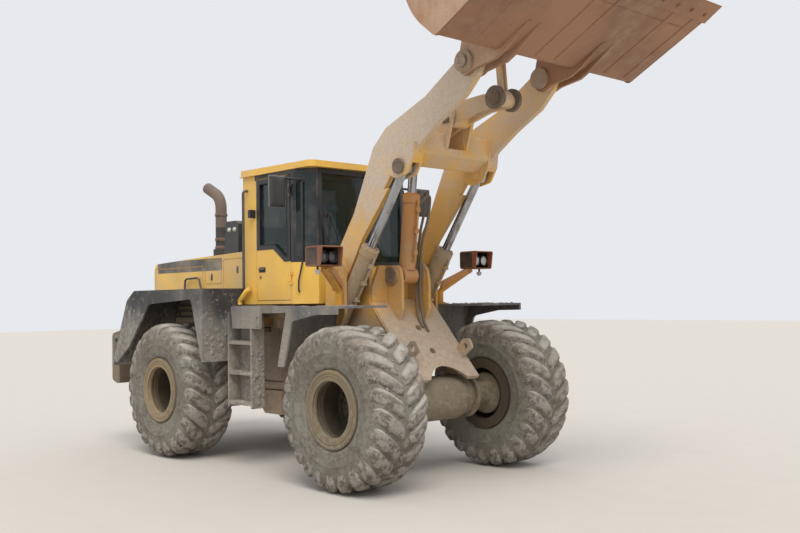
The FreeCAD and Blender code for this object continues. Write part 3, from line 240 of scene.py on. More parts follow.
# crust: share, and the heights between which it grows; deep: distances across and share of the dark, a
# painted shade that darkens the rim's dish the further in it lies; dark: the tint of that painted shade
paintLooks = {
    "machineYellow": lookOf(
        ((240, 192, 80), (222, 176, 82), (206, 190, 160), (96, 60, 38)),
        (0.14, 0.6, 0.7, 2.05, 1.2, 0.5, 0.45, 0.5, 0.4, 0.12)),
    "armPaint": lookOf(
        ((232, 178, 74), (210, 164, 92), (204, 188, 170), (104, 76, 54)),
        (0.72, 0.3, -0.9, 3.5, 2.45, 0.8, 0.8, 0.5, 0.6, 0.2), outward=0.55),
    "tiltPaint": lookOf(
        ((206, 142, 62), (186, 132, 80), (188, 160, 124), (92, 60, 42)),
        (0.25, 0.3, 0.0, 2.2, 1.2, 0.9, 0.9, 0.5, 0.6, 0.25)),
    "blackPaint": lookOf(
        ((52, 52, 54), (72, 70, 68), (136, 132, 124), (84, 66, 54)),
        (0.3, 0.75, 0.55, 2.0, 0.9, 0.7, 1.0, 0.2, 0.6, 0.3)),
    "fenderPaint": lookOf(
        ((52, 52, 54), (74, 73, 72), (142, 136, 128), (86, 80, 74)),
        (0.14, 0.7, 0.85, 1.95, 1.4, 1.0, 1.4, 0.5, 0.65, 0.5), crust=(0.9, 2.1, 1.3)),
    "stepPaint": lookOf(
        ((86, 86, 89), (112, 109, 106), (156, 148, 136), (88, 74, 62)),
        (0.5, 0.5, 0.6, 1.75, 1.35, 0.9, 1.0, 0.4, 0.7, 0.6), crust=(0.85, 1.9, 0.9)),
    "framePaint": lookOf(
        ((226, 170, 66), (186, 144, 84), (170, 155, 139), (88, 62, 46)),
        (0.16, 0.45, 0.95, 1.95, 1.4, 0.75, 0.8, 0.8, 0.65, 0.3), crust=(0.6, 1.7, 1.1)),
    "driedMud": lookOf(
        ((126, 121, 114), (142, 137, 129), (164, 158, 149), (112, 106, 98)),
        (0.4, 0.3, 0.2, 1.2, 0.4, 0.9, 0.2, 0.5, 0.85, 0.6)),
    "castIron": lookOf(
        ((98, 90, 66), (112, 100, 76), (140, 127, 108), (84, 58, 46)),
        (0.6, 0.45, 0.4, 1.2, 0.4, 0.8, 0.5, 0.4, 0.75, 0.5), crust=(0.7, 1.2, 0.5)),
    "bucketSteel": lookOf(
        ((160, 116, 86), (128, 92, 70), (196, 166, 138), (96, 62, 44)),
        (0.12, 0.3, 0.0, 2.2, 1.2, 1.0, 0.9, 0.9, 0.62, 0.3), outward=0.7),
    "rimPaint": lookOf(
        ((150, 130, 96), (112, 98, 74), (140, 128, 110), (80, 62, 46)),
        # deep and dark: painted shade, the rim's dish darkens the further in it lies
        (0.4, 0.0, 0.0, 1.2, 0.4, 0.9, 0.3, 0.7, 0.75, 0.5), deep=(1.34, 1.17, 0.8), dark=colour(46, 38, 29),
        crust=(0.6, 1.4, 0.4)),
    "exhaustSteel": lookOf(
        ((104, 94, 88), (120, 94, 76), (142, 128, 116), (122, 80, 54)),
        (0.25, 0.3, -0.6, 2.75, 2.55, 0.9, 0.8, 0.9, 0.75, 0.3)),
    "blackPlastic": lookOf(
        ((38, 38, 41), (54, 54, 56), (122, 116, 108), (60, 58, 56)),
        (0.05, 0.5, 0.2, 2.0, 1.2, 0.35, 0.3, 0.0, 0.5, 0.12)),
    "lampFrame": lookOf(
        ((156, 86, 50), (108, 66, 44), (150, 124, 102), (70, 46, 36)),
        (0.25, 0.3, 0.0, 2.0, 1.2, 0.9, 0.6, 0.9, 0.6, 0.25)),
    "pinSteel": lookOf(
        ((112, 96, 80), (76, 62, 52), (162, 146, 126), (98, 66, 46)),
        (0.4, 0.4, 0.1, 2.2, 1.2, 0.9, 0.4, 0.6, 0.55, 0.35)),
    "pinDust": lookOf(
        ((150, 122, 92), (118, 92, 70), (186, 168, 148), (104, 68, 46)),
        (0.7, 0.3, 0.0, 2.2, 1.2, 0.7, 0.4, 0.7, 0.65, 0.3)),
    "barrelPaint": lookOf(
        ((206, 158, 82), (160, 132, 94), (172, 155, 132), (96, 70, 50)),
        (0.72, 0.3, 0.3, 2.0, 1.5, 0.8, 0.6, 0.7, 0.7, 0.45), crust=(0.5, 2.6, 1.4)),
}


# what all paints share: a noise is its scale, detail, roughness and stretch, and a pair is where a fade
# starts and ends
paintSet = {
    "broad": (1.1, 5), "middle": (5.5, 6, 0.6), "fine": (38, 6, 0.65), "runs": (7, 5, 0.6, (1, 1, 0.1)),
    "clumps": (16, 7, 0.72), "upward": (0.25, 0.95), "outward": (0.1, 0.45), "dusty": (0.0, 1.15),
    "wear": (0.35, 0.65), "speckle": (0.3, 0.7), "crusted": (0.6, 0.64), "chips": (0.66, 0.06, 0.71),
    "lowWaver": 0.5, "crustWaver": 0.8, "patch": 2.2, "blotch": 0.8, "grain": 0.28, "edge": 0.16,
    "edgeRadius": 0.012, "cover": 0.93, "shaded": 0.82, "lit": 1.25, "matt": 0.92, "depth": 0.02,
}


def addPaint(name, look, fields=()):
    paint, share = Paint(name), paintSet
    noises = [paint.noise(*share[kind]) for kind in ("broad", "middle", "fine", "runs")]
    broad, middle, fine, runs = noises
    across, height = paint.along(paint.spot, "Y"), paint.along(paint.spot, "Z")
    up = paint.fade(paint.along(paint.facing, "Z"), *share["upward"])
    low = paint.fade(height + (middle - 0.5) * share["lowWaver"], look["lowFrom"], look["lowTo"])
    outward = paint.fade(paint.along(paint.facing, "Y") * across, *share["outward"])
    across = paint.maths("ABSOLUTE", across)
    amount = look["layer"] + up * look["top"] + low * look["low"] + outward * look.get("outward", 0)
    amount = amount + (broad - 0.5) * (share["patch"] * look["patches"]) + (runs - 0.5) * look["streaks"]
    amount = amount + (middle - 0.5) * share["blotch"] + (fine - 0.5) * share["grain"]
    dusty = paint.fade(amount, *share["dusty"])
    edge = paint.edges(share["edgeRadius"])
    start, sooner, end = share["chips"]
    worn = fine * 0.5 + middle * 0.5 + edge * share["edge"]
    chipped = paint.fade(worn, start - sooner * look["chips"], end)
    base = paint.mix(paint.fade(broad, *share["wear"]), look["base"], look["worn"])
    for reach, heights, wide, tint in fields:
        ahead = paint.within(paint.spot, "X", reach[0] + hingeX, reach[1] + hingeX)
        ahead = ahead * (across > wide)
        base = paint.mix(paint.within(paint.spot, "Z", *heights) * ahead, base, tint)
    base = paint.mix(chipped * look["chips"], base, look["rust"])
    shaded = paint.shade(look["dust"], share["shaded"])
    base = paint.mix(dusty * share["cover"], base,
                     paint.mix(paint.fade(fine, *share["speckle"]), look["dust"], shaded))
    crust = 0.0
    if "crust" in look:
        amount, start, end = look["crust"]
        lower = paint.fade(height + (broad - 0.5) * share["crustWaver"], start, end)
        crust = paint.fade(paint.noise(*share["clumps"]) + lower * 0.14, *share["crusted"]) * amount
        base = paint.mix(crust * (fine * 0.6 + 0.35), base, paint.shade(look["dust"], share["lit"]))
    # painted shade: surfaces darken towards the dark tint the further in they lie, for the rim's dish
    if "deep" in look:
        start, end, amount = look["deep"]
        base = paint.mix(paint.fade(across, start, end) * amount, base, look["dark"])
    relief = middle * 0.5 + fine * 0.5 + dusty * 0.3 + crust
    return paint.finish({
        "Base Color": base,
        "Roughness": dusty * (share["matt"] - look["rough"]) + look["rough"],
        "Normal": paint.bump(relief, look["bump"], share["depth"]),
    })


# painted fields: reach ahead of the hinge, heights, how far out from the middle, tint
bandBlack, glassBlack = colour(62, 62, 64), colour(34, 36, 40)
yellowLook = paintLooks["machineYellow"]
fieldPaints = {
    "hoodYellow": ({**yellowLook, "layer": 0.34, "top": 0.2},
                   (((-3.05, -1.43), (2.262, 2.42), 0.597, bandBlack),
                    ((-3.2, -0.72), (1.5, 2.0), 0.597, colour(44, 42, 40)))),
    "cabYellow": (yellowLook, (((0.285, 0.7), (2.29, 3.4), 0.0, glassBlack),
                               ((-0.41, 0.7), (3.262, 3.4), 0.7, glassBlack))),
    "doorYellow": (yellowLook, (((0.225, 0.4), (2.303, 3.4), 0.0, glassBlack),)),
    "stackSteel": (paintLooks["exhaustSteel"], (((-2.3, -1.9), (2.3, 2.86), 0.0, colour(60, 59, 60)),)),
    "lampUnit": (paintLooks["lampFrame"], (((1.17, 1.352), (2.222, 2.395), 0.0, colour(30, 30, 32)),
                                           ((0.9, 1.4), (1.7, 2.204), 0.0, colour(222, 162, 58)))),
}
paints = {name: addPaint(name, look) for name, look in paintLooks.items()}
for name, (look, fields) in fieldPaints.items():
    paints[name] = addPaint(name, look, fields)

# colours of the dust, the mud and the bare rubber, then how far faces that do not point up go towards the low
# tint, and how many clods
rubberTints = {
    "treadRubber": {
        "dust": colour(168, 162, 152), "pale": colour(192, 188, 178), "mud": colour(136, 126, 114),
        "rubber": colour(84, 78, 73), "low": colour(96, 85, 74), "under": 0.85, "clods": 0.8,
    },
    "sidewallRubber": {
        "dust": colour(132, 128, 116), "pale": colour(148, 146, 134), "mud": colour(116, 106, 94),
        "rubber": colour(72, 70, 66), "low": colour(104, 94, 82), "under": 0.14, "clods": 0.35,
    },
}
rubberSet = {
    "broad": (1.7, 5), "middle": (9, 6, 0.65), "fine": (60, 5, 0.6), "clumps": (13, 7, 0.75), "cells": 22,
    "muddy": (0.38, 0.66), "pale": (0.35, 0.65), "down": (0.66, 0.02), "bare": (0.6, 0.68),
    "clods": (0.58, 0.66), "waver": 0.9, "bareCover": 0.7, "clodsBelow": 0.16, "strength": 0.6, "depth": 0.03,
}


def addRubber(name, tints):
    paint, share = Paint(name), rubberSet
    broad, middle, fine = (paint.noise(*share[kind]) for kind in ("broad", "middle", "fine"))
    lumps = paint.cells(share["cells"])
    muddy = paint.fade(broad + (middle - 0.5) * share["waver"], *share["muddy"])
    base = paint.mix(paint.fade(middle, *share["pale"]), tints["dust"], tints["pale"])
    base = paint.mix(muddy, base, tints["mud"])
    upright = paint.along(paint.facing, "Z")
    down = paint.fade(upright + (broad - 0.5) * share["waver"], *share["down"])
    base = paint.mix(down * tints["under"], base, tints["low"])
    bare = paint.fade(middle * 0.6 + fine * 0.4, *share["bare"])
    base = paint.mix(bare * share["bareCover"], base, tints["rubber"])
    clods = paint.fade(paint.noise(*share["clumps"]) + down * share["clodsBelow"], *share["clods"])
    base = paint.mix(clods * tints["clods"], base, paint.mix(fine, tints["low"], tints["pale"]))
    height = middle * 0.5 + fine * 0.3 + (1 - lumps) * muddy * 0.35 + clods * 0.8
    return paint.finish({
        "Base Color": base,
        "Roughness": 0.95 - bare * 0.2,
        "Normal": paint.bump(height, share["strength"], share["depth"]),
    })


for name, tints in rubberTints.items():
    paints[name] = addRubber(name, tints)


def addChrome():
    paint = Paint("rodChrome")
    streak = paint.noise(14, 5, 0.6, stretch=(1, 1, 0.2))
    base = paint.mix(paint.fade(streak, 0.45, 0.75), colour(168, 170, 174), colour(132, 122, 108))
    return paint.finish({
        "Base Color": base,
        "Metallic": 1 - paint.fade(streak, 0.5, 0.8) * 0.7,
        "Roughness": paint.fade(streak, 0.4, 0.8) * 0.4 + 0.14,
    })


def addGlass():
    paint = Paint("cabGlass")
    film = paint.noise(3, 5, 0.6)
    dirt = paint.fade(film, 0.5, 0.8)
    return paint.finish({
        "Base Color": paint.mix(dirt * 0.5, colour(30, 46, 44), colour(120, 118, 108)),
        "Roughness": dirt * 0.3 + 0.04,
        "Alpha": dirt * 0.2 + 0.62,
    })


def addCloth():
    paint = Paint("seatCloth")
    weave = paint.noise(300, 2)
    return paint.finish({
        "Base Color": paint.mix(weave, colour(38, 38, 42), colour(62, 62, 66)),
        "Roughness": weave * 0.1 + 0.85,
        "Normal": paint.bump(weave, 0.3, 0.002),
    })


lensTints = {
    "clearLens": (206, 206, 200), "amberLens": (214, 104, 30), "redLens": (150, 24, 20),
    "smokedLens": (52, 52, 54),
}


def addLens(name, tint):
    paint = Paint(name)
    settings = {"bands_direction": "Z"}
    ribs = paint.node("ShaderNodeTexWave", settings, {"Vector": paint.spot, "Scale": 40.0})
    return paint.finish({
        "Base Color": paint.mix(paint.noise(12), tint, paint.shade(tint, 0.7)),
        "Roughness": ribs * 0.1 + 0.12,
        "Normal": paint.bump(ribs, 0.3, 0.002),
        "Coat Weight": 0.8,
    })


paints["rodChrome"] = addChrome()
paints["cabGlass"] = addGlass()
paints["seatCloth"] = addCloth()
for name, tint in lensTints.items():
    paints[name] = addLens(name, colour(*tint))


# colour, roughness, metallic
plainSet = {
    "sealRubber": ((24, 24, 26), 0.55, 0), "blackGlass": ((22, 34, 36), 0.05, 0),
    "hoseRubber": ((112, 100, 86), 0.7, 0), "mirrorGlass": ((196, 202, 206), 0.05, 1),
    "paleTrim": ((170, 168, 160), 0.45, 0),
}


def addPlain(name, tint, rough, metallic):
    paint = Paint(name)
    film = paint.fade(paint.noise(2.5, 5, 0.6), 0.45, 0.8)
    return paint.finish({
        "Base Color": paint.mix(film * 0.3, colour(*tint), colour(124, 118, 108)),
        "Roughness": film * 0.35 + rough,
        "Metallic": metallic,
    })


for name, values in plainSet.items():
    paints[name] = addPlain(name, *values)

slotPaints = {
    "yellow_paint": "machineYellow", "arm_paint": "armPaint", "black_paint": "blackPaint",
    "frame_paint": "framePaint", "bucket_steel": "bucketSteel", "cast_iron": "castIron",
    "tyre_rubber": "treadRubber", "rim_paint": "rimPaint", "rod_chrome": "rodChrome",
    "pin_steel": "pinSteel", "exhaust_steel": "exhaustSteel", "cab_glass": "cabGlass",
    "seat_cloth": "seatCloth", "black_plastic": "blackPlastic",
}
nodePaints = {
    "engine_hood": "hoodYellow", "cab_shell": "cabYellow", "tilt_barrel": "tiltPaint",
    "lift_barrels": "barrelPaint", "bucket_pins": "pinDust", "exhaust_stack": "stackSteel",
}
sidePaints = {
    "steer_barrel": "framePaint", "platform": "stepPaint", "door": "doorYellow",
    "rear_fender": "fenderPaint", "front_fender": "stepPaint", "headlamp": "lampUnit",
}
for side, out in sides:
    nodePaints.update({f"{name}_{side}": paintName for name, paintName in sidePaints.items()})
nodeSlots = {part["node"]: part["material_slot"] for part in frame["record"]["subparts"]}
for name, node in nodes.items():
    node.data.materials.clear()
    node.data.materials.append(paints[nodePaints.get(name, slotPaints[nodeSlots[name]])])


print("floor and light")
stageSet = {
    "floor": 60, "floorTint": colour(206, 200, 192), "sky": 0.85, "skyTint": (0.94, 0.96, 1.0, 1),
    "sun": 2.0, "sunTint": (1.0, 0.97, 0.92), "spread": 35, "turn": (30, 22, 20),
}


def addStage(values):
    half = values["floor"]
    mesh = bpy.data.meshes.new("floor")
    corners = [(-half, -half, 0), (half, -half, 0), (half, half, 0), (-half, half, 0)]
    mesh.from_pydata(corners, [], [(0, 1, 2, 3)])
    floor = addObject("floor", mesh)
    paint = Paint("floor")
    grain = paint.noise(3, 8, 0.7)
    mesh.materials.append(paint.finish({
        "Base Color": paint.mix(grain, values["floorTint"], paint.shade(values["floorTint"], 0.9)),
        "Roughness": grain * 0.1 + 0.9,
    }))
    world = bpy.data.worlds.new("sky")
    world.use_nodes = True
    back = world.node_tree.nodes["Background"]
    back.inputs["Color"].default_value = values["skyTint"]
    back.inputs["Strength"].default_value = values["sky"]
    bpy.context.scene.world = world
    data = bpy.data.lights.new("sun", "SUN")
    data.energy = values["sun"]
    data.angle = math.radians(values["spread"])
    data.color = values["sunTint"]
    addObject("sun", data).rotation_euler = [math.radians(turn) for turn in values["turn"]]


addStage(stageSet)


class Shape:  # a mesh under construction; its tag says which of its materials the next faces get
    def __init__(self):
        self.points = []
        self.faces = []
        self.tags = []
        self.tag = 0

    def add(self, points, faces):
        first = len(self.points)
        self.points += [tuple(point) for point in points]
        self.faces += [tuple(first + i for i in face) for face in faces]
        self.tags += [self.tag] * len(faces)

    def loft(self, loops, ring=False):  # loops of as many points, joined in their order
        count = len(loops[0])
        points = [point for loop in loops for point in loop]
        faces = []
        for i in range(len(loops) - (0 if ring else 1)):
            here, after = i * count, (i + 1) % len(loops) * count
            for j in range(count):
                k = (j + 1) % count
                faces.append((here + j, here + k, after + k, after + j))
        if not ring:
            faces.append(tuple(range(count))[::-1])
            faces.append(tuple(range((len(loops) - 1) * count, len(loops) * count)))
        self.add(points, faces)

    def block(self, centre, size):
        centre, half = Vector(centre), Vector(size) / 2
        corners = box(-half.x, -half.y, half.x, half.y)
        self.loft([[centre + Vector((x, y, z)) for x, y in corners] for z in (-half.z, half.z)])

    def tube(self, path, radius, count=12):  # a round bar along points
        path = [Vector(point) for point in path]
        loops = []
        side = None
        for i, point in enumerate(path):
            ahead = (path[min(i + 1, len(path) - 1)] - path[max(i - 1, 0)]).normalized()
            if side is None:
                side = ahead.orthogonal().normalized()
            side = (side - ahead * side.dot(ahead)).normalized()
            loops.append([point + spoke * radius for spoke in spokes(ahead, count, side)])
        self.loft(loops)

    def turned(self, profile, centre, axis, steps=32, closed=False):  # (radius, distance along the axis)
        centre, axis = Vector(centre), Vector(axis).normalized()
        count = len(profile)
        points = [centre + spoke * r + axis * d for spoke in spokes(axis, steps) for r, d in profile]
        faces = []
        for i in range(steps):
            here, after = i * count, (i + 1) % steps * count
            for j in range(count if closed else count - 1):
                k = (j + 1) % count
                faces.append((here + j, after + j, after + k, here + k))
        self.add(points, faces)

    # a flat form, or a frame round a hole of as many corners
    def plate(self, edge, spot, low, high, hole=None):
        if hole:
            layers = ((edge, low), (edge, high), (hole, high), (hole, low))
            self.loft([[spot(u, v, depth) for u, v in points] for points, depth in layers], ring=True)
        else:
            self.loft([[spot(u, v, depth) for u, v in edge] for depth in (low, high)])

    def bolt(self, foot, along, radius, height):  # a hexagon head on a washer
        foot, along = Vector(foot), Vector(along).normalized()
        for size, low, high, count in ((1.35, 0, 0.25, 12), (1.0, 0.2, 1.0, 6)):
            ring = [spoke * radius * size for spoke in spokes(along, count)]
            self.loft([[foot + along * height * level + spoke for spoke in ring] for level in (low, high)])

    # bolts round an axis that runs across the machine
    def boltRing(self, centre, out, ring, count, size, height, shift=0.5, turn=0.0):
        for cosine, sine in circle(count, shift, turn):
            self.bolt(centre + Vector((cosine, 0, sine)) * ring, (0, out, 0), size, height)

    def finish(self, name, body, slot, materials, bevel=0.0, smooth=35):
        mesh = bpy.data.meshes.new(name)
        mesh.from_pydata(self.points, [], self.faces)
        for material in materials:
            mesh.materials.append(paints[material])
        mesh.polygons.foreach_set("material_index", self.tags)
        mesh.update()
        outward = bmesh.new()
        outward.from_mesh(mesh)
        bmesh.ops.recalc_face_normals(outward, faces=outward.faces)
        outward.to_mesh(mesh)
        outward.free()
        piece = addObject(name, mesh)
        mesh.shade_smooth()
        mesh.set_sharp_from_angle(angle=math.radians(smooth))
        if bevel:
            rounding = piece.modifiers.new("rounding", "BEVEL")
            rounding.width = bevel
            rounding.segments = 2
            rounding.limit_method = "ANGLE"
            rounding.harden_normals = True
        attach(piece, body)
        return piece


def sideWall(out, y):  # flat places on a wall beside: ahead, up, proud of it
    return lambda u, v, depth: place(u, out * (y + depth), v)


def endWall(x, facing, out=1):  # flat places on a wall across: to the left, up, proud of it
    return lambda u, v, depth: place(x + facing * depth, out * u, v)


def box(lowU, lowV, highU, highV):
    return ((lowU, lowV), (highU, lowV), (highU, highV), (lowU, highV))


print("tyres")
tyreSet = {
    "lugs": 24, "steps": 144, "wear": 0.004, "rough": 0.0035, "waver": 0.006, "sunk": 0.012,
    # a lug leads by an angle that grows with the distance across; its half widths are lengths at a radius
    "lead": 0.262, "leadFrom": 0.157, "leadOver": 0.295, "widthAt": 0.8, "limit": 0.8098,
    # distance across from the tyre's middle, radius: the casing from middle to bead
    "casing": ((0.0, 0.771), (0.1, 0.769), (0.2, 0.762), (0.262, 0.748), (0.29, 0.715),
               (0.302, 0.66), (0.306, 0.6), (0.304, 0.555), (0.3065, 0.55), (0.3065, 0.542),
               (0.303, 0.537), (0.298, 0.49), (0.288, 0.45), (0.284, 0.437), (0.284, 0.425),
               (0.275, 0.408), (0.262, 0.389), (0.24, 0.386)),
    # a lug's stations: across and radius of its foot, of its face, and half of its width
    "stations": ((0.012, 0.764, 0.02, 0.785, 0.04), (0.022, 0.763, 0.034, 0.803, 0.058),
                 (0.07, 0.762, 0.075, 0.8085, 0.075), (0.13, 0.758, 0.13, 0.8095, 0.08),
                 (0.19, 0.754, 0.19, 0.807, 0.082), (0.235, 0.747, 0.238, 0.798, 0.083),
                 (0.265, 0.733, 0.274, 0.778, 0.081), (0.287, 0.705, 0.299, 0.745, 0.075),
                 (0.297, 0.655, 0.307, 0.695, 0.062), (0.303, 0.635, 0.306, 0.65, 0.048)),
    # a lug's outline across its width: share of the half width, share of the height lost
    "outline": ((-1.16, 1.0), (-1.0, 0.42), (-0.8, 0.12), (-0.42, 0.0),
                (0.42, 0.0), (0.8, 0.12), (1.0, 0.42), (1.16, 1.0)),
}


def addTyre(end, ahead, side, out, values):
    chance = random.Random(f"{end} {side}")
    centre = wheelCentre(ahead, out)
    shape = Shape()
    half = [(radius, across) for across, radius in values["casing"]]
    profile = [(radius, -across) for radius, across in half[::-1]] + half[1:]
    shape.tag = 1
    shape.turned(profile, centre, (0, 1, 0), values["steps"])
    shape.tag = 0
    pitch = 2 * math.pi / values["lugs"]
    uneven, waver = values["rough"], values["waver"]
    for row, shift in ((-1, 0.5), (1, 0)):
        for i in range(values["lugs"]):
            middle = math.pi / 2 - (i + shift) * pitch + chance.uniform(-waver, waver)
            wear = chance.uniform(0, values["wear"])
            loops = []
            for footY, footR, faceY, faceR, width in values["stations"]:
                angle = middle + values["lead"] * ((faceY - values["leadFrom"]) / values["leadOver"])
                wide = (width + chance.uniform(-uneven, uneven)) / values["widthAt"]
                faceR -= wear + chance.uniform(0, uneven)
                loop = []
                for share, lost in values["outline"]:
                    rough = chance.uniform(-uneven, uneven) * 0.5
                    radius = faceR + (footR - values["sunk"] - faceR) * lost + rough
                    radius = min(radius, values["limit"])
                    across = faceY + (footY - faceY) * lost
                    turn = angle + wide * share
                    reach = (radius * math.cos(turn), row * across, radius * math.sin(turn))
                    loop.append(centre + Vector(reach))
                loops.append(loop)
            shape.loft(loops if row > 0 else [loop[::-1] for loop in loops])
    name, body = f"dressed_tyre_{end}_{side}", f"wheel_{end}_{side}"
    piece = shape.finish(name, body, "tyre_rubber", ("treadRubber", "sidewallRubber"), smooth=48)
    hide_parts(f"tyre_{end}_{side}")


for end, ahead, side, out in wheels:
    addTyre(end, ahead, side, out, tyreSet)


print("wheels")
wheelSet = {
    # bolt circles: how many, radius, face outboard of the wheel's middle, size
    "bolts": ((20, 0.232, -0.06, 0.016), (12, 0.118, 0.0, 0.011)),
    # rings on the rim: (radius, outboard of the middle) round each section
    "flange": ((0.346, 0.283), (0.35, 0.291), (0.372, 0.292), (0.381, 0.284)),
    "lock": ((0.318, 0.283), (0.322, 0.29), (0.336, 0.29), (0.34, 0.283)),
    "steps": (((0.281, 0.268), (0.272, 0.262), (0.272, 0.238), (0.283, 0.226)),
              ((0.303, 0.15), (0.292, 0.146), (0.292, 0.124), (0.303, 0.118))),
    "valve": ((0.262, 0.215), (0.262, 0.262)), "stem": 0.006,
}


def addWheelTrim(end, ahead, side, out, values):
    along = Vector((0, out, 0))
    centre, body = wheelCentre(ahead, out), f"wheel_{end}_{side}"
    nuts, rings = Shape(), Shape()
    for count, ring, face, size in values["bolts"]:
        nuts.boltRing(centre + along * face, out, ring, count, size, size * 1.6)
    nuts.finish(f"wheel_nuts_{end}_{side}", body, "pin_steel", ("rimPaint",))
    for section in (values["flange"], values["lock"]) + values["steps"]:
        rings.turned(section, centre, along, 72, closed=True)
    stem = [centre + Vector((radius, 0, 0)) + along * face for radius, face in values["valve"]]
    rings.tube(stem, values["stem"], 8)
    rings.finish(f"rim_rings_{end}_{side}", body, "rim_paint", ("rimPaint",), bevel=0.002)


for end, ahead, side, out in wheels:
    addWheelTrim(end, ahead, side, out, wheelSet)


print("axle bolts")
axleSet = {"count": 16, "ring": 0.21, "face": 0.52, "size": 0.014, "height": 0.0196}


def addAxleBolts(end, ahead, values):
    shape = Shape()
    for side, out in sides:
        middle = place(wheelPlace["ahead"] * ahead, out * values["face"], wheelPlace["up"])
        shape.boltRing(middle, out, values["ring"], values["count"], values["size"], values["height"])
    shape.finish(f"axle_bolts_{end}", end, "pin_steel", ("castIron",))


for end, ahead in ends:
    addAxleBolts(end, ahead, axleSet)


print("doors")
doorSet = {
    "wall": 0.8,
    "hole": ((-0.31, 2.5), (-0.03, 2.5), (0.18, 2.35), (0.225, 2.35),
             (0.225, 3.22), (-0.31, 3.22)),
    "edge": ((-0.369, 2.452), (-0.046, 2.452), (0.164, 2.302), (0.274, 2.302),
             (0.274, 3.269), (-0.369, 3.269)),
    "seal": ((-0.298, 2.512), (-0.026, 2.512), (0.184, 2.362), (0.213, 2.362),
             (0.213, 3.208), (-0.298, 3.208)),
    "handle": (-0.335, 2.195, -0.205, 2.255),
    # along, up, proud of the door
    "grip": ((-0.322, 2.24, 0.0), (-0.312, 2.232, 0.022), (-0.228, 2.232, 0.022), (-0.218, 2.24, 0.0)),
    "lock": (-0.3, 2.14, 0.017),
}


def addDoorTrim(side, out, values):
    spot = sideWall(out, values["wall"])
    shape = Shape()
    shape.plate(values["edge"], spot, -0.003, 0.005, hole=values["hole"])
    shape.tag = 1
    shape.plate(values["hole"], spot, -0.028, 0.008, hole=values["seal"])
    shape.plate(box(*values["handle"]), spot, -0.002, 0.003)
    shape.tag = 2
    shape.tube([spot(*point) for point in values["grip"]], 0.008, 8)
    u, v, radius = values["lock"]
    barrel = ((0.001, 0.008), (radius, 0.008), (radius, -0.002))
    shape.turned(barrel, spot(u, v, 0), (0, out, 0), 20)
    paintNames = ("blackPlastic", "sealRubber", "pinSteel")
    shape.finish(f"door_trim_{side}", f"door_{side}", "black_plastic", paintNames, bevel=0.002)


for side, out in sides:
    addDoorTrim(side, out, doorSet)


print("cab trim")
cabSet = {
    "front": 0.58, "rear": -0.65,
    # the front corner's two ends, and its glass along and up it
    "corner": ((0.34, 0.8), (0.58, 0.64)), "cornerGlass": (0.03, 2.345, 0.262, 3.285),
    "screen": ((-0.635, 2.256, 0.635, 3.314), (-0.59, 2.3, 0.59, 3.27)),
    "backLight": ((-0.655, 2.485, 0.655, 3.305), (-0.61, 2.53, 0.61, 3.26)),
    "latch": (-0.418, 0.838, 2.878), "latchSize": (0.052, 0.075, 0.092),
    "foot": ((-0.47, 0.835, 2.01), (-0.5, 0.862, 1.985), (-0.636, 0.862, 1.88),
             (-0.64, 0.862, 1.83)),
    "rail": ((0.444, 0.731, 3.19), (0.452, 0.765, 3.17), (0.452, 0.765, 2.3), (0.42, 0.8, 2.08),
             (0.42, 0.8, 1.99), (0.4, 0.775, 1.96)),
    "wipers": (((-0.699, 3.073), (-0.54, 2.496)), ((-0.493, 2.809), (-0.383, 2.535))),
    "gutter": ((-0.66, 0.832, 3.326), (0.42, 0.832, 3.326)),
}


def addCabTrim(values):
    shape, glass, yellow = Shape(), Shape(), Shape()
    (x0, y0), (x1, y1) = values["corner"]
    run = Vector((x1 - x0, y1 - y0)).normalized()
    for side, out in sides:
        def corner(u, v, depth):
            return place(x0 + run.x * u - run.y * depth, out * (y0 + run.y * u + run.x * depth), v)

        glass.plate(box(*values["cornerGlass"]), corner, -0.002, 0.003)
        shape.block(*mirrored([values["latch"]], out), values["latchSize"])
        shape.tube(mirrored(values["rail"], out), 0.01, 10)
        yellow.tube(mirrored(values["foot"], out), 0.03, 12)
        yellow.tube(mirrored(values["gutter"], out), 0.009, 8)
    glass.finish("corner_glass", "rear", "cab_glass", ("blackGlass",), bevel=0.001)
    front, back = endWall(values["front"], 1), endWall(values["rear"], -1)
    for spot, (edge, hole) in ((front, values["screen"]), (back, values["backLight"])):
        shape.plate(box(*edge), spot, -0.002, 0.007, hole=box(*hole))
    for foot, tip in values["wipers"]:
        shape.tube([front(*foot, 0.022), front(*tip, 0.03)], 0.007, 8)
        shape.block(front(*foot, 0.01), (0.02, 0.05, 0.05))
    shape.finish("cab_trim", "rear", "black_plastic", ("blackPlastic",), bevel=0.003)
    yellow.finish("cab_grips", "rear", "yellow_paint", ("machineYellow",))


addCabTrim(cabSet)


print("mirror glass")
mirrorSet = {
    "rear": 0.415, "front": 0.45, "face": (1.006, 2.886, 1.194, 3.204),
    "case": (0.994, 2.874, 1.206, 3.216),
    # the case's back: how far in from its edge, how deep
    "rounds": ((0.0, 0.0), (0.008, 0.014), (0.03, 0.026), (0.07, 0.03)),
}


def addMirrors(values):
    glass, case = Shape(), Shape()
    lowU, lowV, highU, highV = values["case"]
    for side, out in sides:
        face = box(*values["face"])
        glass.plate(face, endWall(values["rear"], -1, out), 0.0, 0.003)
        spot = endWall(values["front"], 1, out)
        case.tag = 1
        case.plate(box(*values["case"]), spot, -0.004, 0.003, hole=face)
        case.tag = 0
        loops = []
        for inset, depth in values["rounds"]:
            edge = box(lowU + inset, lowV + inset, highU - inset, highV - inset)
            loops.append([spot(u, v, depth) for u, v in edge])
        case.loft(loops)
    glass.finish("mirror_glass", "rear", "rod_chrome", ("mirrorGlass",))
    case.finish("mirror_cases", "rear", "black_plastic", ("blackPlastic", "paleTrim"), bevel=0.004)


addMirrors(mirrorSet)


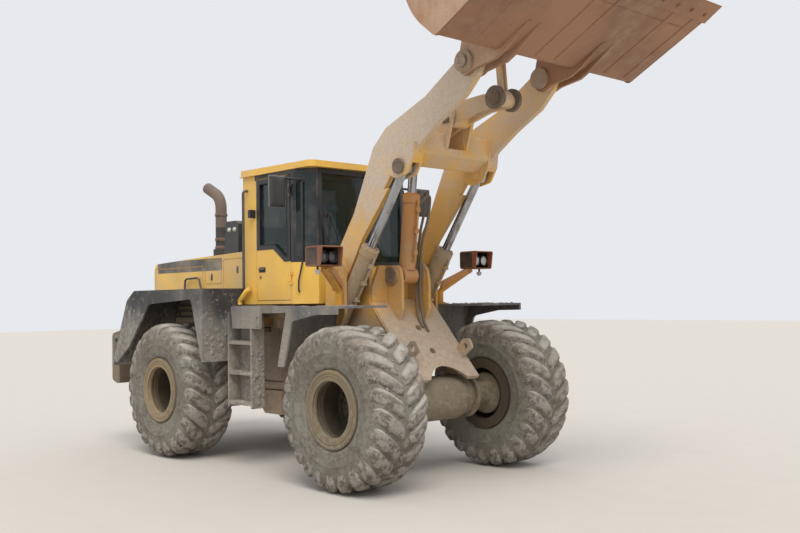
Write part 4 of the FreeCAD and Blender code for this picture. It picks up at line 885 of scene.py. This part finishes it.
print("cab inside")
insideSet = {
    # middle, size
    "blocks": (((-0.2, -0.36, 2.3), (0.52, 0.13, 0.14)), ((-0.24, 0.3, 2.46), (0.34, 0.07, 0.05)),
               ((0.46, 0.0, 2.3), (0.13, 0.36, 0.1)), ((0.44, 0.0, 3.22), (0.04, 0.9, 0.05))),
    "levers": (-0.02, 0.06, 0.14), "beside": -0.36, "foot": 2.36, "top": 2.5, "lean": 0.02,
    "knob": ((0.001, 0.03), (0.016, 0.024), (0.019, 0.0), (0.012, -0.02)),
}


def addInside(values):
    shape = Shape()
    for centre, size in values["blocks"]:
        shape.block(place(*centre), size)
    y, top, lean = values["beside"], values["top"], values["lean"]
    for x in values["levers"]:
        shape.tube([place(x, y, values["foot"]), place(x + lean, y, top)], 0.007, 8)
        shape.turned(values["knob"], place(x + lean, y, top + 0.01), (0, 0, 1), 12)
    shape.finish("cab_controls", "rear", "black_plastic", ("blackPlastic",), bevel=0.012)


addInside(insideSet)


print("lamps")
lampSet = {
    "lamps": (1.065, 1.19), "face": 1.35, "up": 2.3,
    "dome": ((0.001, 0.014), (0.02, 0.012), (0.036, 0.007), (0.05, 0.0)),
    "bezel": ((0.05, 0.0), (0.052, 0.01), (0.058, 0.01), (0.0595, 0.0)),
    "bar": ((1.06, 0.77, 1.99), (1.075, 0.79, 2.03), (1.245, 1.07, 2.19)),
    "barSection": ((-0.05, -0.03), (0.05, -0.03), (0.05, 0.045), (-0.05, 0.045)), "barSkew": 0.6,
    "signal": ((1.27, 1.2, 2.205), (1.27, 1.2, 2.175)),
    "bulb": ((0.001, -0.049), (0.02, -0.046), (0.03, -0.026), (0.03, -0.004), (0.001, 0.0)),
    "lenses": {"right": "smokedLens", "left": "clearLens"},
}


def addLamps(side, out, values):
    glass, trim = Shape(), Shape()
    for y in values["lamps"]:
        centre = place(values["face"], out * y, values["up"])
        glass.turned(values["dome"], centre, (1, 0, 0), 32)
        trim.turned(values["bezel"], centre, (1, 0, 0), 32, closed=True)
    glass.finish(f"lamp_lenses_{side}", "front", "cab_glass", (values["lenses"][side],))
    stem = mirrored(values["signal"], out)
    trim.tube(stem, 0.012, 12)
    trim.tag = 1
    trim.turned(values["bulb"], stem[1], (0, 0, 1), 24)
    trim.tag = 2
    skew = values["barSkew"]
    trim.loft([[place(x + u, out * (y - u * skew), z + v) for u, v in values["barSection"]]
               for x, y, z in values["bar"]])
    paintNames = ("blackPlastic", "clearLens", "tiltPaint")
    trim.finish(f"lamp_trim_{side}", "front", "black_plastic", paintNames, bevel=0.003)


for side, out in sides:
    addLamps(side, out, lampSet)


print("hood trim")
hoodSet = {
    "half": 0.6, "tailFace": -3.3,
    "latches": ((-1.667, 2.183), (-2.46, 1.72), (-1.08, 2.26)), "latch": (0.016, 0.042),
    "rail": ((-2.275, 0.64, 2.015), (-2.255, 0.64, 2.15), (-2.225, 0.64, 2.172),
             (-1.95, 0.64, 2.18), (-1.915, 0.64, 2.16), (-1.855, 0.64, 2.015)),
    # louvres: from and to along the hood, their heights, and each one's section
    "louvres": (-2.95, -2.15), "levels": (1.98, 1.908, 1.836, 1.764, 1.692),
    "louvre": ((0.0, 0.0), (0.014, -0.006), (0.016, -0.022), (0.0, -0.026)),
    "tail": (((0.86, 1.3, 0.98, 1.4), "redLens"), ((0.985, 1.3, 1.06, 1.4), "amberLens")),
    "lift": ((-3.02, 0.0, 2.41), (-2.99, 0.0, 2.45), (-2.85, 0.0, 2.455), (-2.82, 0.0, 2.425)),
}


def addHoodTrim(values):
    dark, tail = Shape(), Shape()
    wide, high = values["latch"]
    for side, out in sides:
        spot = sideWall(out, values["half"])
        for x, z in values["latches"]:
            dark.plate(box(x - wide, z - high, x + wide, z + high), spot, -0.002, 0.006)
            dark.block(spot(x, z - 0.01, 0.01), (0.012, 0.012, 0.05))
        dark.tube(mirrored(values["rail"], out), 0.013, 12)
        for z in values["levels"]:
            dark.loft([[spot(x, z + up, proud) for proud, up in values["louvre"]]
                       for x in values["louvres"]])
        for tag, (face, lens) in enumerate(values["tail"]):
            tail.tag = tag
            tail.plate(box(*face), endWall(values["tailFace"], -1, out), -0.004, 0.016)
    dark.tube(mirrored(values["lift"], 1), 0.011, 10)
    dark.finish("hood_trim", "rear", "black_paint", ("blackPaint",), bevel=0.002)
    lenses = [lens for face, lens in values["tail"]]
    tail.finish("tail_lamps", "rear", "cab_glass", lenses, bevel=0.003)


addHoodTrim(hoodSet)


print("rear work lamps")
workSet = {
    "half": 0.44, "wide": 0.055, "lamps": ((-1.42, 2.77), (-1.3, 2.77)),
    "section": ((-1.55, 2.46), (-1.22, 2.46), (-1.22, 2.84), (-1.28, 2.88), (-1.5, 2.88)),
    "lens": ((0.001, 0.024), (0.0224, 0.018), (0.032, 0.0), (0.032, -0.01)),
}


def addWorkLamps(values):
    shape = Shape()
    for side, out in sides:
        spot = sideWall(out, values["half"])
        shape.tag = 0
        shape.plate(values["section"], spot, -values["wide"], values["wide"])
        shape.tag = 1
        for x, z in values["lamps"]:
            shape.turned(values["lens"], spot(x, z, values["wide"]), (0, out, 0), 24)
    paintNames = ("blackPlastic", "clearLens")
    shape.finish("rear_work_lamps", "rear", "black_plastic", paintNames, bevel=0.006)


addWorkLamps(workSet)


print("exhaust bands")
exhaustSet = {
    "x": -2.15, "y": -0.15, "proud": 0.006,
    # height, radius, half of its height
    "bands": ((2.585, 0.079, 0.03), (2.7, 0.08, 0.022), (3.03, 0.08, 0.022)),
}


def addBands(values):
    shape = Shape()
    x, y, proud = values["x"], values["y"], values["proud"]
    for z, radius, half in values["bands"]:
        section = ((radius - proud, -half), (radius, -half), (radius + proud, 0.0), (radius, half),
                   (radius - proud, half))
        shape.turned(section, place(x, y, z), (0, 0, 1), 40, closed=True)
        shape.bolt(place(x + 0.02, y - radius, z), (1, 0, 0), 0.009, 0.05)
    shape.finish("exhaust_bands", "rear", "exhaust_steel", ("exhaustSteel",))


addBands(exhaustSet)


print("pin plates")
pinSet = {
    "turn": 0.5, "ring": 0.78,
    # body, ahead, up, outer face, radius of the cap, bolts on it
    "caps": (("front", 0.91, 2.17, 0.715, 0.05, 3), ("front", 0.73, 1.495, 0.715, 0.05, 3),
             ("front", 1.3, 2.12, 0.235, 0.092, 4), ("level_pins", 2.83, 4.07, 0.7098, 0.06, 4),
             ("arms", 1.893, 3.196, 0.655, 0.078, 3), ("link_pin", 2.73, 3.82, 0.1438, 0.07, 4)),
    # body, ahead, up, outer face, how far below the pin
    "keepers": (("front", 0.91, 2.17, 0.7, 0.1), ("front", 0.73, 1.495, 0.7, 0.1),
                ("arms", 2.1, 3.74, 0.17, 0.06)),
    "keeper": (0.05, 0.025), "steps": (-0.03, 0.03),
}


def addPinPlates(values):
    shapes = {}
    for body, x, z, face, radius, count in values["caps"]:
        shape = shapes.setdefault(body, Shape())
        for side, out in sides:
            dished = ((0.001, 0.006), (radius * 0.5, 0.006), (radius * 0.6, 0.012), (radius, 0.012),
                      (radius, -0.004))
            shape.turned(dished, place(x, out * face, z), (0, out, 0), 32)
            ring, top = radius * values["ring"], place(x, out * (face + 0.01), z)
            shape.boltRing(top, out, ring, count, 0.007, 0.01, 0.0, values["turn"])
    wide, high = values["keeper"]
    for body, x, z, face, drop in values["keepers"]:
        shape = shapes.setdefault(body, Shape())
        for side, out in sides:
            spot, middle = sideWall(out, face), z - drop
            shape.plate(box(x - wide, middle - high, x + wide, middle + high), spot, -0.002, 0.012)
            for step in values["steps"]:
                shape.bolt(spot(x + step, middle, 0.011), (0, out, 0), 0.01, 0.013)
    for body, shape in shapes.items():
        paintName = "pinDust" if body == "level_pins" else "pinSteel"
        shape.finish(f"pin_plates_{body}", body, "pin_steel", (paintName,), bevel=0.0015)


addPinPlates(pinSet)


print("weld beads")
weldSet = {
    "size": 0.008,
    "arms": ("arm_paint", "armPaint",
             ((1.77, 0.525, 3.33), (1.9, 0.525, 3.2), (2.09, 0.525, 3.33), (2.06, 0.525, 3.56),
              (1.85, 0.525, 3.59), (1.77, 0.525, 3.33))),
    "front": ("frame_paint", "framePaint", ((1.184, 0.452, 1.858), (1.915, 0.452, 1.026))),
}


def addWelds(values):
    for body in ("arms", "front"):
        slot, paintName, path = values[body]
        shape = Shape()
        for side, out in sides:
            shape.tube(mirrored(path, out), values["size"], 8)
        shape.finish(f"weld_beads_{body}", body, slot, (paintName,))


addWelds(weldSet)


print("cylinder heads")
# base pin, far eye, middles across, where the head is; pipe: from, to, how far off the middle
cylinderSet = {
    "count": 8,
    "lift_barrels": {"paint": "barrelPaint", "base": (0.73, 1.495), "eye": (1.893, 3.196),
                     "middles": (-0.555, 0.555), "head": 1.1, "ring": 0.078, "rod": 0.046,
                     "pipe": (0.42, 1.04, 0.106)},
    "tilt_barrel": {"paint": "tiltPaint", "base": (1.3, 2.12), "eye": (1.45, 3.44), "middles": (0.0,),
                    "head": 0.88, "ring": 0.076, "rod": 0.048, "pipe": (0.16, 0.82, 0.104)},
    # the rod's wiper: beyond the rod's radius, along it
    "wiper": ((0.001, -0.01), (0.001, 0.02), (0.01, 0.022), (0.016, 0.0)),
    "clamp": (0.045, 0.05, 0.05),
}


def addCylinderHeads(body, values, shared):
    shape = Shape()
    base, eye = Vector(values["base"]), Vector(values["eye"])
    run = (eye - base).normalized()
    along = Vector((run.x, 0, run.y))
    head, ring = values["head"], values["ring"]
    low, high, off = values["pipe"]
    for y in values["middles"]:
        def spot(distance, ahead, across=0.0):
            at = base + run * distance + Vector((run.y, -run.x)) * ahead
            return place(at.x, y + across, at.y)

        wiper = [(values["rod"] + more, at) for more, at in shared["wiper"]]
        shape.turned(wiper, spot(head, 0), along, 32)
        for cosine, sine in circle(shared["count"], 0.5):
            shape.bolt(spot(head, ring * cosine, ring * sine), along, 0.01, 0.014)
        path = ((low, -0.03), (low, 0), (low + 0.03, 0.012), (high - 0.03, 0.012), (high, 0), (high, -0.03))
        shape.tube([spot(at, off + more) for at, more in path], 0.013, 10)
        for at in (low + 0.1, (low + high) / 2, high - 0.1):
            shape.block(spot(at, off), shared["clamp"])
    shape.finish(f"head_bolts_{body}", body, "frame_paint", (values["paint"],))


for body in ("lift_barrels", "tilt_barrel"):
    addCylinderHeads(body, cylinderSet[body], cylinderSet)


print("tilt hoses")
hoseSet = {
    "runs": (((1.396, 0.085, 2.93), (1.4, 0.12, 2.945), (1.405, 0.15, 3.00), (1.4, 0.185, 3.03),
              (1.385, 0.215, 2.98), (1.375, 0.205, 2.8), (1.36, 0.16, 2.6), (1.345, 0.142, 2.4),
              (1.33, 0.14, 2.2)),
             ((1.43, 0.08, 2.9), (1.445, 0.115, 2.92), (1.455, 0.16, 2.97), (1.45, 0.215, 2.985),
              (1.43, 0.245, 2.92), (1.415, 0.225, 2.74), (1.395, 0.165, 2.52), (1.385, 0.143, 2.36),
              (1.37, 0.142, 2.2))),
    "size": 0.015, "fitting": 0.022,
    # the hoses go on down the front plate from the barrel's pin
    "plate": (((1.335, 0.141, 2.215), (1.33, 0.139, 2.1), (1.335, 0.12, 1.95), (1.36, 0.09, 1.8),
               (1.4, 0.07, 1.69), (1.455, 0.06, 1.6), (1.49, 0.06, 1.56)),
              ((1.372, 0.143, 2.215), (1.37, 0.141, 2.1), (1.375, 0.13, 1.95), (1.4, 0.12, 1.8),
               (1.44, 0.11, 1.65), (1.5, 0.1, 1.555), (1.53, 0.095, 1.515))),
}


def smoothed(points, steps=6):  # points along a Catmull-Rom curve
    points = [Vector(point) for point in points]
    made = []
    for i in range(len(points) - 1):
        a, b, c, d = (points[max(min(i + k, len(points) - 1), 0)] for k in (-1, 0, 1, 2))
        for k in range(steps):
            t = k / steps
            made.append(0.5 * (2 * b + (c - a) * t + (2 * a - 5 * b + 4 * c - d) * t * t
                               + (3 * b - a - 3 * c + d) * t * t * t))
    return made + [points[-1]]


def addTiltHoses(values):
    shape = Shape()
    for run in values["runs"]:
        path = [place(*point) for point in run]
        shape.tag = 0
        shape.tube(smoothed(path), values["size"], 10)
        shape.tag = 1
        shape.tube([path[0], path[0] * 0.3 + path[1] * 0.7], values["fitting"], 8)
    shape.finish("tilt_hoses", "tilt_barrel", "black_plastic", ("hoseRubber", "pinSteel"))
    lower = Shape()
    for run in values["plate"]:
        lower.tube(smoothed([place(*point) for point in run]), values["size"], 10)
    lower.finish("plate_hoses", "front", "black_plastic", ("hoseRubber",))


addTiltHoses(hoseSet)


print("steps")
stepSet = {
    # rows of ribs: from and to ahead, how many, inner and outer edge, height, width, depth
    "rows": ((-0.52, -0.08, 10, 0.945, 1.09, 0.736, 0.014, 0.01),
             (-0.52, -0.08, 10, 0.945, 1.09, 1.076, 0.014, 0.01),
             (-0.52, -0.08, 10, 0.945, 1.09, 1.416, 0.014, 0.01),
             (-0.44, 0.08, 8, 0.86, 1.08, 1.81, 0.03, 0.008)),
    "slot": ((0.03, 1.585, 0.104, 1.705), (0.042, 1.597, 0.092, 1.693)), "wall": 1.1,
}


def addSteps(side, out, values):
    shape = Shape()
    for start, end, count, inner, outer, z, wide, deep in values["rows"]:
        for k in range(count):
            x = start + (end - start) * k / (count - 1)
            shape.block(place(x, out * (inner + outer) / 2, z + 0.003), (wide, outer - inner, deep))
    edge, hole = values["slot"]
    shape.plate(box(*edge), sideWall(out, values["wall"]), -0.002, 0.01, hole=box(*hole))
    shape.finish(f"step_treads_{side}", "rear", "black_paint", ("stepPaint",), bevel=0.002)


for side, out in sides:
    addSteps(side, out, stepSet)


print("mud flaps")
flapSet = {
    "x": -2.885, "edge": (0.86, 1.06, 1.335, 1.44), "thick": 0.014,
    "bar": (1.1, 1.425, -0.012), "barSize": (0.03, 0.46, 0.05), "bolts": (0.93, 1.1, 1.27),
}


def addFlaps(values):
    shape = Shape()
    for side, out in sides:
        spot = endWall(values["x"], -1, out)
        shape.plate(box(*values["edge"]), spot, 0.0, values["thick"])
        shape.block(spot(*values["bar"]), values["barSize"])
        for y in values["bolts"]:
            shape.bolt(spot(y, values["bar"][1], values["thick"]), (-1, 0, 0), 0.01, 0.012)
    shape.finish("mud_flaps", "rear", "black_plastic", ("stepPaint",), bevel=0.003)


addFlaps(flapSet)


print("dried mud")
mudSet = {
    "steps": 7, "tall": (0.35, 1.0), "height": 0.6, "spread": (0.7, 1.3), "seed": 7,
    # a lump's loops: share of its width, share of its height
    "loops": ((1.0, -0.25), (0.92, 0.35), (0.6, 0.85), (0.15, 1.0)),
    # how many, low corner, high corner, direction it stands out in, sizes
    "rear": ((54, (-0.664, 0.66, 1.2), (-0.664, 1.34, 1.5), (1, 0, 0), (0.008, 0.032)),
             (60, (-0.664, 0.8, 1.3), (-0.664, 1.34, 1.64), (1, 0, 0), (0.005, 0.014)),
             (46, (-0.53, 0.95, 0.735), (-0.07, 1.09, 0.735), (0, 0, 1), (0.01, 0.036)),
             (34, (-0.53, 0.95, 1.075), (-0.07, 1.09, 1.075), (0, 0, 1), (0.01, 0.034)),
             (22, (-0.53, 0.95, 1.415), (-0.07, 1.09, 1.415), (0, 0, 1), (0.008, 0.028)),
             (44, (-0.058, 0.94, 0.69), (-0.058, 1.095, 1.35), (1, 0, 0), (0.008, 0.032)),
             (30, (-0.52, 0.941, 0.76), (-0.08, 0.941, 1.4), (0, 1, 0), (0.01, 0.034)),
             (16, (-0.42, 1.101, 1.565), (0.0, 1.101, 1.66), (0, 1, 0), (0.005, 0.018))),
    "front": ((60, (1.05, 0.72, 1.806), (1.7, 1.34, 1.806), (0, 0, 1), (0.006, 0.026)),),
    # on each tyre: how many, radii, how far across, sizes
    "tyre": (110, (0.754, 0.782), 0.24, (0.01, 0.026)),
}


def addLump(shape, foot, along, size, chance, values):
    along = Vector(along).normalized()
    height = size * chance.uniform(*values["tall"]) * values["height"]
    ring = [spoke * size * chance.uniform(*values["spread"]) for spoke in spokes(along, values["steps"])]
    shape.loft([[foot + spoke * wide + along * height * level for spoke in ring]
                for wide, level in values["loops"]])


def addMud(values):
    chance = random.Random(values["seed"])
    for body in ("rear", "front"):
        shape = Shape()
        for side, out in sides:
            for count, low, high, (ahead, beside, up), sizes in values[body]:
                for k in range(count):
                    x, y, z = (chance.uniform(a, b) for a, b in zip(low, high))
                    size = chance.uniform(*sizes) ** 1.5 * 5
                    along = (ahead, beside * out, up)
                    addLump(shape, place(x, out * y, z), along, size, chance, values)
        shape.finish(f"dried_mud_{body}", body, "black_paint", ("driedMud",), smooth=60)
    count, radii, across, sizes = values["tyre"]
    for end, ahead, side, out in wheels:
        shape = Shape()
        for k in range(count):
            angle = chance.uniform(0, 2 * math.pi)
            along = Vector((math.cos(angle), 0, math.sin(angle)))
            foot = wheelCentre(ahead, out) + along * chance.uniform(*radii)
            foot += Vector((0, chance.uniform(-across, across), 0))
            addLump(shape, foot, along, chance.uniform(*sizes), chance, values)
        name, body = f"dried_mud_{end}_{side}", f"wheel_{end}_{side}"
        shape.finish(name, body, "tyre_rubber", ("driedMud",), smooth=60)


addMud(mudSet)


print("bucket trim")
bucketSet = {
    # places are along the floor from the pin, across, and above the pin, in the bucket's own turn
    "pin": (2.83, 4.07), "angle": 28, "half": 1.44, "lip": -0.181,
    "plates": ((-1.33, 0.16), (-0.95, 0.08), (-0.14, 0.07), (0.14, 0.07), (0.95, 0.08), (1.33, 0.16)),
    "plateReach": (0.42, 1.335), "plateDepths": (-0.162, -0.172),
    "bolts": (1.43, 12, 0.018), "seam": (1.2, -0.167, 1.42),
    "cheek": ((1.47, -0.16), (1.49, -0.11), (1.25, 0.04), (1.17, 0.075), (1.02, -0.02),
              (1.2, -0.16)),
    "cheekBolts": ((1.12, 0.0), (1.22, -0.06), (1.33, -0.11)),
}


def addBucketTrim(values):
    shape = Shape()
    angle = math.radians(values["angle"])
    tipX, tipZ = values["pin"]

    def spot(u, y, w):
        x = tipX + u * math.cos(angle) - w * math.sin(angle)
        return place(x, y, tipZ + u * math.sin(angle) + w * math.cos(angle))

    start, end = values["plateReach"]
    for y, width in values["plates"]:
        flat = box(start, y - width / 2, end, y + width / 2)
        shape.loft([[spot(u, v, w) for u, v in flat] for w in values["plateDepths"]])
    u, count, size = values["bolts"]
    down = spot(0, 0, -1) - spot(0, 0, 0)
    for k in range(count):
        y = values["half"] * (2 * (k + 0.5) / count - 1)
        shape.bolt(spot(u, y, values["lip"]), down, size, size)
    u, w, reach = values["seam"]
    shape.tube([spot(u, y, w) for y in (-reach, reach)], 0.006, 6)
    for side, out in sides:
        shape.loft([[spot(u, out * (values["half"] + y), w) for u, w in values["cheek"]]
                    for y in (-0.004, 0.012)])
        for u, w in values["cheekBolts"]:
            shape.bolt(spot(u, out * (values["half"] + 0.011), w), (0, out, 0), 0.013, 0.012)
    shape.finish("bucket_trim", "bucket", "bucket_steel", ("bucketSteel",), bevel=0.002)


addBucketTrim(bucketSet)


print("tail trim")
tailSet = {
    "bolts": ((0.35, 1.38), (0.35, 1.00), (0.75, 1.38), (0.75, 1.00)), "face": -3.3, "size": 0.022,
    # the tow pin: ahead, from, to, radius; its collar, and the loop on it as across and up
    "pin": (-3.24, 0.87, 1.262, 0.0235),
    "collar": ((0.001, 0.016), (0.042, 0.012), (0.042, 0.0), (0.02, -0.002)),
    "loop": ((-0.035, 0), (-0.035, 0.06), (0, 0.085), (0.035, 0.06), (0.035, 0)),
}


def addTailTrim(values):
    shape = Shape()
    for side, out in sides:
        for y, z in values["bolts"]:
            shape.bolt(place(values["face"], out * y, z), (-1, 0, 0), values["size"], values["size"])
    x, low, high, radius = values["pin"]
    shape.tube([place(x, 0, low), place(x, 0, high)], radius, 20)
    shape.turned(values["collar"], place(x, 0, high), (0, 0, 1), 24)
    shape.tube([place(x, y, high + up) for y, up in values["loop"]], 0.008, 10)
    shape.finish("tail_bolts", "rear", "pin_steel", ("pinSteel",))


addTailTrim(tailSet)
